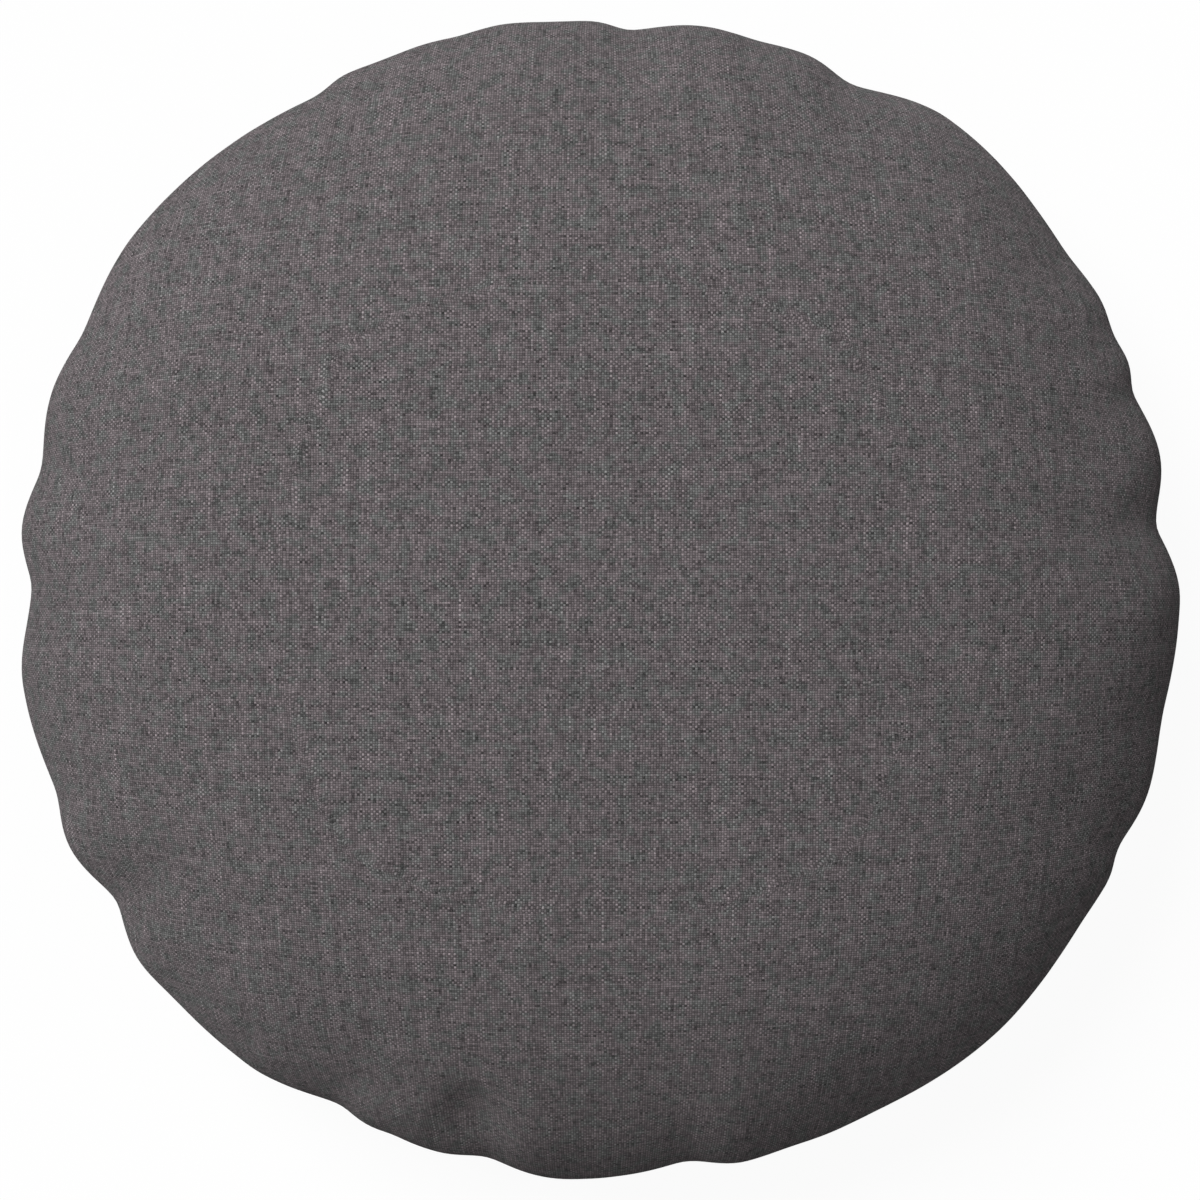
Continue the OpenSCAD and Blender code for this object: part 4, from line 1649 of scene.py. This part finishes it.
@dataclass
class CoilZip:
    """The zip under the cushion: tapes, spiral coils, stops, slider, pull and the stitching that holds it."""

    sizes: Sizes
    tape: bpy.types.Material
    nylon: bpy.types.Material
    metal: bpy.types.Material
    thread: bpy.types.Material
    coil_pitch: float = 2.0 * MM
    wire_r: float = 0.34 * MM
    # How far the heads of the coil reach past the middle of the zip, and how far the tapes stay short of it:
    # the slider's post passes through both, out of sight between the slider's plates
    mesh_reach: float = 0.35 * MM
    tape_gap: float = 0.15 * MM
    stitch_inset: float = 5.0 * MM
    stitch_pitch: float = 3.6 * MM
    stitch_r: float = 0.3 * MM
    # How far past each end of the opening the topstitching crosses the zip
    row_end: float = 2 * MM
    # How far the tape waves up and down, and over what length
    ripple: float = 0.08 * MM
    ripple_run: float = 37 * MM
    coil_steps: int = 8
    grain_small: float = 0.12 * MM
    grain_large: float = 0.14 * MM

    def build(self) -> None:
        """Build every piece of the zip."""
        for side in ("front", "rear"):
            self._tape(side)
            self._coil(side)
        self._topstitching()
        for node, name, grain, body in (
            ("zip_top_stops", "zip_top_clips", self.grain_small, "cushion"),
            ("zip_bottom_stop", "zip_bottom_clip", self.grain_small, "cushion"),
            ("zip_slider", "zip_slider_casting", self.grain_large, "slider"),
            ("zip_pull", "zip_pull_tab", self.grain_large, "pull"),
        ):
            place_piece(cast_from(node, name, grain, self.metal), body, "zip_metal", node)

    def _tape(self, side: str) -> None:
        """Build one tape, with a corded outer edge.

        Args:
            side: "front" or "rear".
        """
        low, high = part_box(f"zip_tape_{side}")
        low.y, high.y = (self.tape_gap, high.y) if side == "rear" else (low.y, -self.tape_gap)
        x = np.linspace(low.x, high.x, 121)
        middle = (np.array(low) + np.array(high)) / 2
        ripple = self.ripple * np.sin(x * 2 * math.pi / self.ripple_run)
        path = np.stack([x, np.full_like(x, middle[1]), middle[2] + ripple], axis=-1)
        up = np.tile(np.array([0.0, 0.0, 1.0]), (len(x), 1))
        points, faces = sweep(path, up, rounded_strip(high.y - low.y, 0.8 * (high.z - low.z)))
        piece = mesh_piece(f"zip_{side}_tape", points, faces, self.tape, outward=True)
        place_piece(piece, "cushion", "zip_tape", f"zip_tape_{side}")

    def _coil(self, side: str) -> None:
        """Build one row of the coil as a flattened spiral of wire.

        Args:
            side: "front" or "rear".
        """
        low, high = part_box(f"zip_coil_{side}")
        sign = 1 if side == "rear" else -1
        steps = self.coil_steps
        turns = int((high.x - low.x) / self.coil_pitch)
        angle = np.arange(turns * steps + 1) * 2 * math.pi / steps
        inner = self.wire_r - self.mesh_reach
        outer = max(abs(low.y), abs(high.y)) - self.wire_r
        y = (inner + outer) / 2 + (outer - inner) / 2 * np.cos(angle)
        z = (low.z + high.z) / 2 + ((high.z - low.z) / 2 - self.wire_r) * np.sin(angle)
        along = angle / (2 * math.pi) - turns / 2 + sign / 4
        x = (low.x + high.x) / 2 + along * self.coil_pitch
        path = np.stack([x, sign * y, z], axis=-1)
        radial = np.stack([np.zeros_like(x), sign * np.cos(angle), np.sin(angle)], axis=-1)
        points, faces = sweep(path, radial, circle(self.wire_r, 6))
        piece = mesh_piece(f"zip_{side}_spiral", points, faces, self.nylon, outward=True)
        place_piece(piece, "cushion", "zip_coil", f"zip_coil_{side}")

    def _topstitching(self) -> None:
        """Sew the box of topstitching round the lips."""
        s = self.sizes
        row_y, row_x = s.lip_y + self.stitch_inset, s.opening + self.row_end
        ways = ((-1, -1), (1, -1), (1, 1), (-1, 1))
        corners = np.array([[row_x * to_x, row_y * to_y, s.zip_z] for to_x, to_y in ways])
        places, along = [], []
        for start, end in zip(corners, np.roll(corners, -1, axis=0)):
            at, ahead = spaced(np.array([start, end]), self.stitch_pitch, closed=False)
            places.append(at)
            along.append(ahead)
        places, along = np.concatenate(places), np.concatenate(along)
        out = np.tile(np.array([0.0, 0.0, -1.0]), (len(places), 1))
        points, faces = Stitch(radius=self.stitch_r).lay(places + out * self.stitch_r, along, out)
        piece = mesh_piece("zip_topstitching", points, faces, self.thread, outward=True)
        place_piece(piece, "cushion", "thread", "zip_topstitch_thread")


@dataclass
class CareLabel:
    """A blank label that hangs from the front tape's edge, inside the cover."""

    sizes: Sizes
    satin: bpy.types.Material
    curl: float = 0.5 * MM
    clear: float = 0.7 * MM
    thickness: float = 0.35 * MM

    def build(self) -> None:
        """Build the label along the cloth's inner face."""
        low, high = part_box("care_label")
        share = np.linspace(0, 1, 25)
        y = high.y + (low.y - high.y) * share
        lift = self.sizes.fabric + self.clear + self.curl * share ** 2
        z = self.sizes.valley_lift(np.zeros_like(y), y, self.sizes.shelf, self.sizes.zip_z) + lift
        path = np.stack([np.full_like(y, (low.x + high.x) / 2), y, z], axis=-1)
        up = np.tile(np.array([0.0, 0.0, 1.0]), (len(y), 1))
        points, faces = sweep(path, up, rounded_strip(high.x - low.x, self.thickness))
        piece = mesh_piece("blank_care_label", points, faces, self.satin, outward=True)
        place_piece(piece, "cushion", "label_tape", "care_label")


# --- Inner pad ----------------------------------------------------------------------------------------------


@dataclass
class InnerPad:
    """The pad inside the cover: two round liner panels, their seam, and the fibre that fills them."""

    sizes: Sizes
    liner: bpy.types.Material
    thread: bpy.types.Material
    fibre: bpy.types.Material
    edge_share: float = 0.94
    fill_share: float = 0.965
    liner_t: float = 0.5 * MM
    allowance: float = 8 * MM
    # The pad's own valley: its half width, and its height above the slider
    shelf: float = 19 * MM
    slider_room: float = 1.5 * MM
    lump: float = 1.6 * MM
    # How long the lumps run in x, how long their sway is in y, and how long they run in y and z
    lump_runs: tuple[float, ...] = (17 * MM, 23 * MM, 15 * MM, 21 * MM)
    weld: float = 0.3 * MM
    fill: float = 0.8

    def build(self, top: QuadSheet, bottom: QuadSheet) -> None:
        """Build the pad inside the settled cover.

        Args:
            top: The coarse top of the cover.
            bottom: The coarse underside of the cover.
        """
        _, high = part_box("insert_top_panel")
        low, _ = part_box("insert_bottom_panel")
        rise = (high.z - self.sizes.seam_z) / (top.points[:, 2].max() - self.sizes.seam_z)
        fall = (self.sizes.seam_z - low.z) / self.sizes.seam_z
        slider_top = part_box("zip_slider")[1].z
        for sheet, up, share in ((top, 1, rise), (bottom, -1, fall)):
            sheet.points[:, :2] *= self.edge_share
            sheet.points[:, 2] = self.sizes.seam_z + (sheet.points[:, 2] - self.sizes.seam_z) * share
            sheet.flat = sheet.flat * self.edge_share
            if up < 0:
                lift = slider_top + self.slider_room - low.z
                x, y = sheet.points[:, 0], sheet.points[:, 1]
                sheet.points[:, 2] += self.sizes.valley_lift(x, y, self.shelf, lift)
        self._fibre(top, bottom)
        for sheet, up, name in ((top, 1, "top"), (bottom, -1, "bottom")):
            rim = sheet.boundary()[0]
            EdgeRoll(self.allowance, depth=1.4 * MM).turn_in(sheet, rim, up)
            if up > 0:
                self._seam(sheet.points[rim])
            piece = sheet.build(f"liner_{name}", self.liner_t, self.liner)
            place_piece(piece, "cushion", "liner_cloth", f"insert_{name}_panel")

    def _seam(self, rim: np.ndarray) -> None:
        """Sew the liner's edge seam.

        Args:
            rim: Where the seam runs.
        """
        places, along = spaced(rim, 3.0 * MM, closed=True)
        out = -EdgeRoll.inwards(places)
        points, faces = Stitch(length=2.5 * MM, radius=0.2 * MM).lay(places, along, out)
        piece = mesh_piece("liner_seam_stitches", points, faces, self.thread, outward=True)
        place_piece(piece, "cushion", "liner_thread", "insert_seam_thread")

    def _fibre(self, top: QuadSheet, bottom: QuadSheet) -> None:
        """Pack the liner with lumpy fibre.

        Args:
            top: The liner's top, before its edge is turned in.
            bottom: The liner's underside, before its edge is turned in.
        """
        centre = np.array([0.0, 0.0, self.sizes.seam_z])
        points = np.concatenate([top.points, bottom.points])
        quads = np.concatenate([top.quads, bottom.quads + len(top.points)])
        points = centre + (points - centre) * np.array([self.fill_share, self.fill_share, 0.99])
        x, y, z = points.T
        run_x, sway_y, run_y, run_z = self.lump_runs
        lumps = np.sin(x / run_x + 1.3 * np.sin(y / sway_y)) * np.sin(y / run_y + z / run_z)
        inward = unit(centre - points) * (self.lump * (1 + lumps))[:, None]
        flat = self.sizes.seam_z - 0.96 * self.sizes.seam_z
        points = points + inward * np.where(z < flat, 0.3, 1.0)[:, None]
        piece = mesh_piece("fibre_wadding", points, quads, self.fibre)
        weld = piece.modifiers.new("closed", "WELD")
        weld.merge_threshold = self.weld
        apply_modifiers(piece)
        place_piece(piece, "cushion", "fibre", "fibre_fill")


# --- Studio -------------------------------------------------------------------------------------------------


@dataclass(frozen=True)
class Studio:
    """A pale floor and dome, a large soft lamp from the upper left, a weak one below, and even light."""

    sizes: Sizes
    lens: float = 100.0
    fill_of_frame: float = 0.965
    aim_x: float = 0.6 * MM
    aim_y: float = -1.7 * MM
    lamp_turn: float = 133.0
    lamp_rise: float = 47.0
    lamp_spread: float = 32.0
    lamp_power: float = 3.22
    under_power: float = 0.8
    around: float = 0.29
    around_below: float = 0.07
    # How far above and below the horizon the light from all round changes over, as a share of straight up
    horizon: float = 0.15
    floor_sides: int = 96
    floor_r: float = 6.0
    floor_drop: float = 0.4 * MM
    dome_rings: int = 12

    def build(self) -> None:
        """Make the floor, the lights and the camera."""
        scene = bpy.context.scene
        scene.view_settings.view_transform = "Standard"
        self._camera(scene)
        self._floor()
        self._lamp("soft_lamp", self.lamp_turn, self.lamp_rise, self.lamp_power)
        self._lamp("under_lamp", 0.0, -90.0, self.under_power)
        self._world(scene)

    def _camera(self, scene: bpy.types.Scene) -> None:
        """Look straight down on the cushion, with +Y up.

        Args:
            scene: The scene.
        """
        camera = bpy.data.cameras.new("camera")
        camera.lens = self.lens
        camera.clip_end = 50.0
        holder = bpy.data.objects.new("camera", camera)
        width = 2 * self.sizes.edge_r / self.fill_of_frame
        height = self.sizes.seam_z + width * self.lens / camera.sensor_width
        holder.location = (self.aim_x, self.aim_y, height)
        scene.collection.objects.link(holder)
        scene.camera = holder

    def _floor(self) -> None:
        """Lay a wide round floor under a dome, which both throw no light or shade on the cushion."""
        count, radius = self.floor_sides, self.floor_r
        turn = np.arange(count) * 2 * math.pi / count
        level = np.full(count, -self.floor_drop)
        points = np.stack([radius * np.cos(turn), radius * np.sin(turn), level], axis=-1)
        floor = mesh_piece("floor", points, [list(range(count))], FloorPaint().make("floor_paint"))
        rings = [np.arange(ring * count, (ring + 1) * count) for ring in range(self.dome_rings)]
        rise = np.linspace(0, math.pi / 2, self.dome_rings, endpoint=False)
        shell = [
            np.column_stack([points[:, :2] * math.cos(up), np.full(count, radius * math.sin(up))])
            for up in rise
        ]
        faces = strip_quads(rings, closed=True, ahead=False).tolist() + [rings[-1][::-1].tolist()]
        dome = mesh_piece("backdrop", np.concatenate(shell), faces, FloorPaint().make("backdrop_paint"))
        for scenery in (floor, dome):
            scenery.visible_diffuse = False
            scenery.visible_glossy = False
            scenery.visible_shadow = False

    def _lamp(self, name: str, turn: float, rise: float, power: float) -> None:
        """Hang one soft, far-off lamp.

        Args:
            name: The lamp's name.
            turn: Where it is round the cushion, in degrees from +X.
            rise: How high it is above the floor, in degrees.
            power: What it gives a surface that faces it, in watts a square metre.
        """
        turn, rise = math.radians(turn), math.radians(rise)
        towards = Vector((math.cos(turn) * math.cos(rise), math.sin(turn) * math.cos(rise), math.sin(rise)))
        lamp = bpy.data.lights.new(name, "SUN")
        lamp.angle = math.radians(self.lamp_spread)
        lamp.energy = power
        holder = bpy.data.objects.new(name, lamp)
        holder.location = towards * 3.0
        holder.rotation_mode = "QUATERNION"
        holder.rotation_quaternion = towards.to_track_quat("Z", "Y")
        bpy.context.scene.collection.objects.link(holder)

    def _world(self, scene: bpy.types.Scene) -> None:
        """Light everything evenly from above, and more weakly from below the floor's level.

        Args:
            scene: The scene.
        """
        world = bpy.data.worlds.new("surroundings")
        world.use_nodes = True
        tree = world.node_tree
        direction = tree.nodes.new("ShaderNodeTexCoord")
        height = tree.nodes.new("ShaderNodeSeparateXYZ")
        level = tree.nodes.new("ShaderNodeMapRange")
        limits = {"From Min": -self.horizon, "From Max": self.horizon}
        limits |= {"To Min": self.around_below, "To Max": self.around}
        for name, value in limits.items():
            level.inputs[name].default_value = value
        background = tree.nodes["Background"]
        background.inputs["Color"].default_value = (1.0, 1.0, 1.0, 1.0)
        tree.links.new(direction.outputs["Generated"], height.inputs[0])
        tree.links.new(height.outputs["Z"], level.inputs["Value"])
        tree.links.new(level.outputs["Result"], background.inputs["Strength"])
        scene.world = world


def main() -> None:
    """Build the cushion and its studio."""
    logging.basicConfig(level=logging.INFO, format="%(name)s: %(message)s")
    sizes = Sizes.from_frame()
    Studio(sizes).build()
    cloth = HeatherCloth().make("heather_cloth")
    thread = SpunThread().make("grey_thread")
    cover = SewnCover(sizes, EdgeLine(sizes), PatternDisc())
    settled = cover.fill(simulate=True)
    LOG.info("settled cover: %d points, crown %.1f mm", len(settled.points), settled.points[:, 2].max() / MM)
    is_top = cover.fine_panels == Panel.TOP.value
    rim = CoverTop(sizes, cloth).build(settled.part(is_top))
    CoverBottom(sizes, cloth, thread).build(settled.part(~is_top))
    EdgeSeam(sizes, thread).build(rim)
    CoilZip(
        sizes,
        ZipTapeWeave().make("zip_tape_weave"),
        NylonCoil().make("nylon_wire"),
        SatinNickel().make("satin_nickel"),
        thread,
    ).build()
    CareLabel(sizes, LabelSatin().make("label_satin")).build()
    liner_thread = SpunThread(colour=(0.62, 0.60, 0.55)).make("natural_thread")
    InnerPad(sizes, LinerWeave().make("liner_weave"), liner_thread, LooseFibre().make("loose_fibre")).build(
        *cover.coarse_halves()
    )


if __name__ == "__main__":
    main()
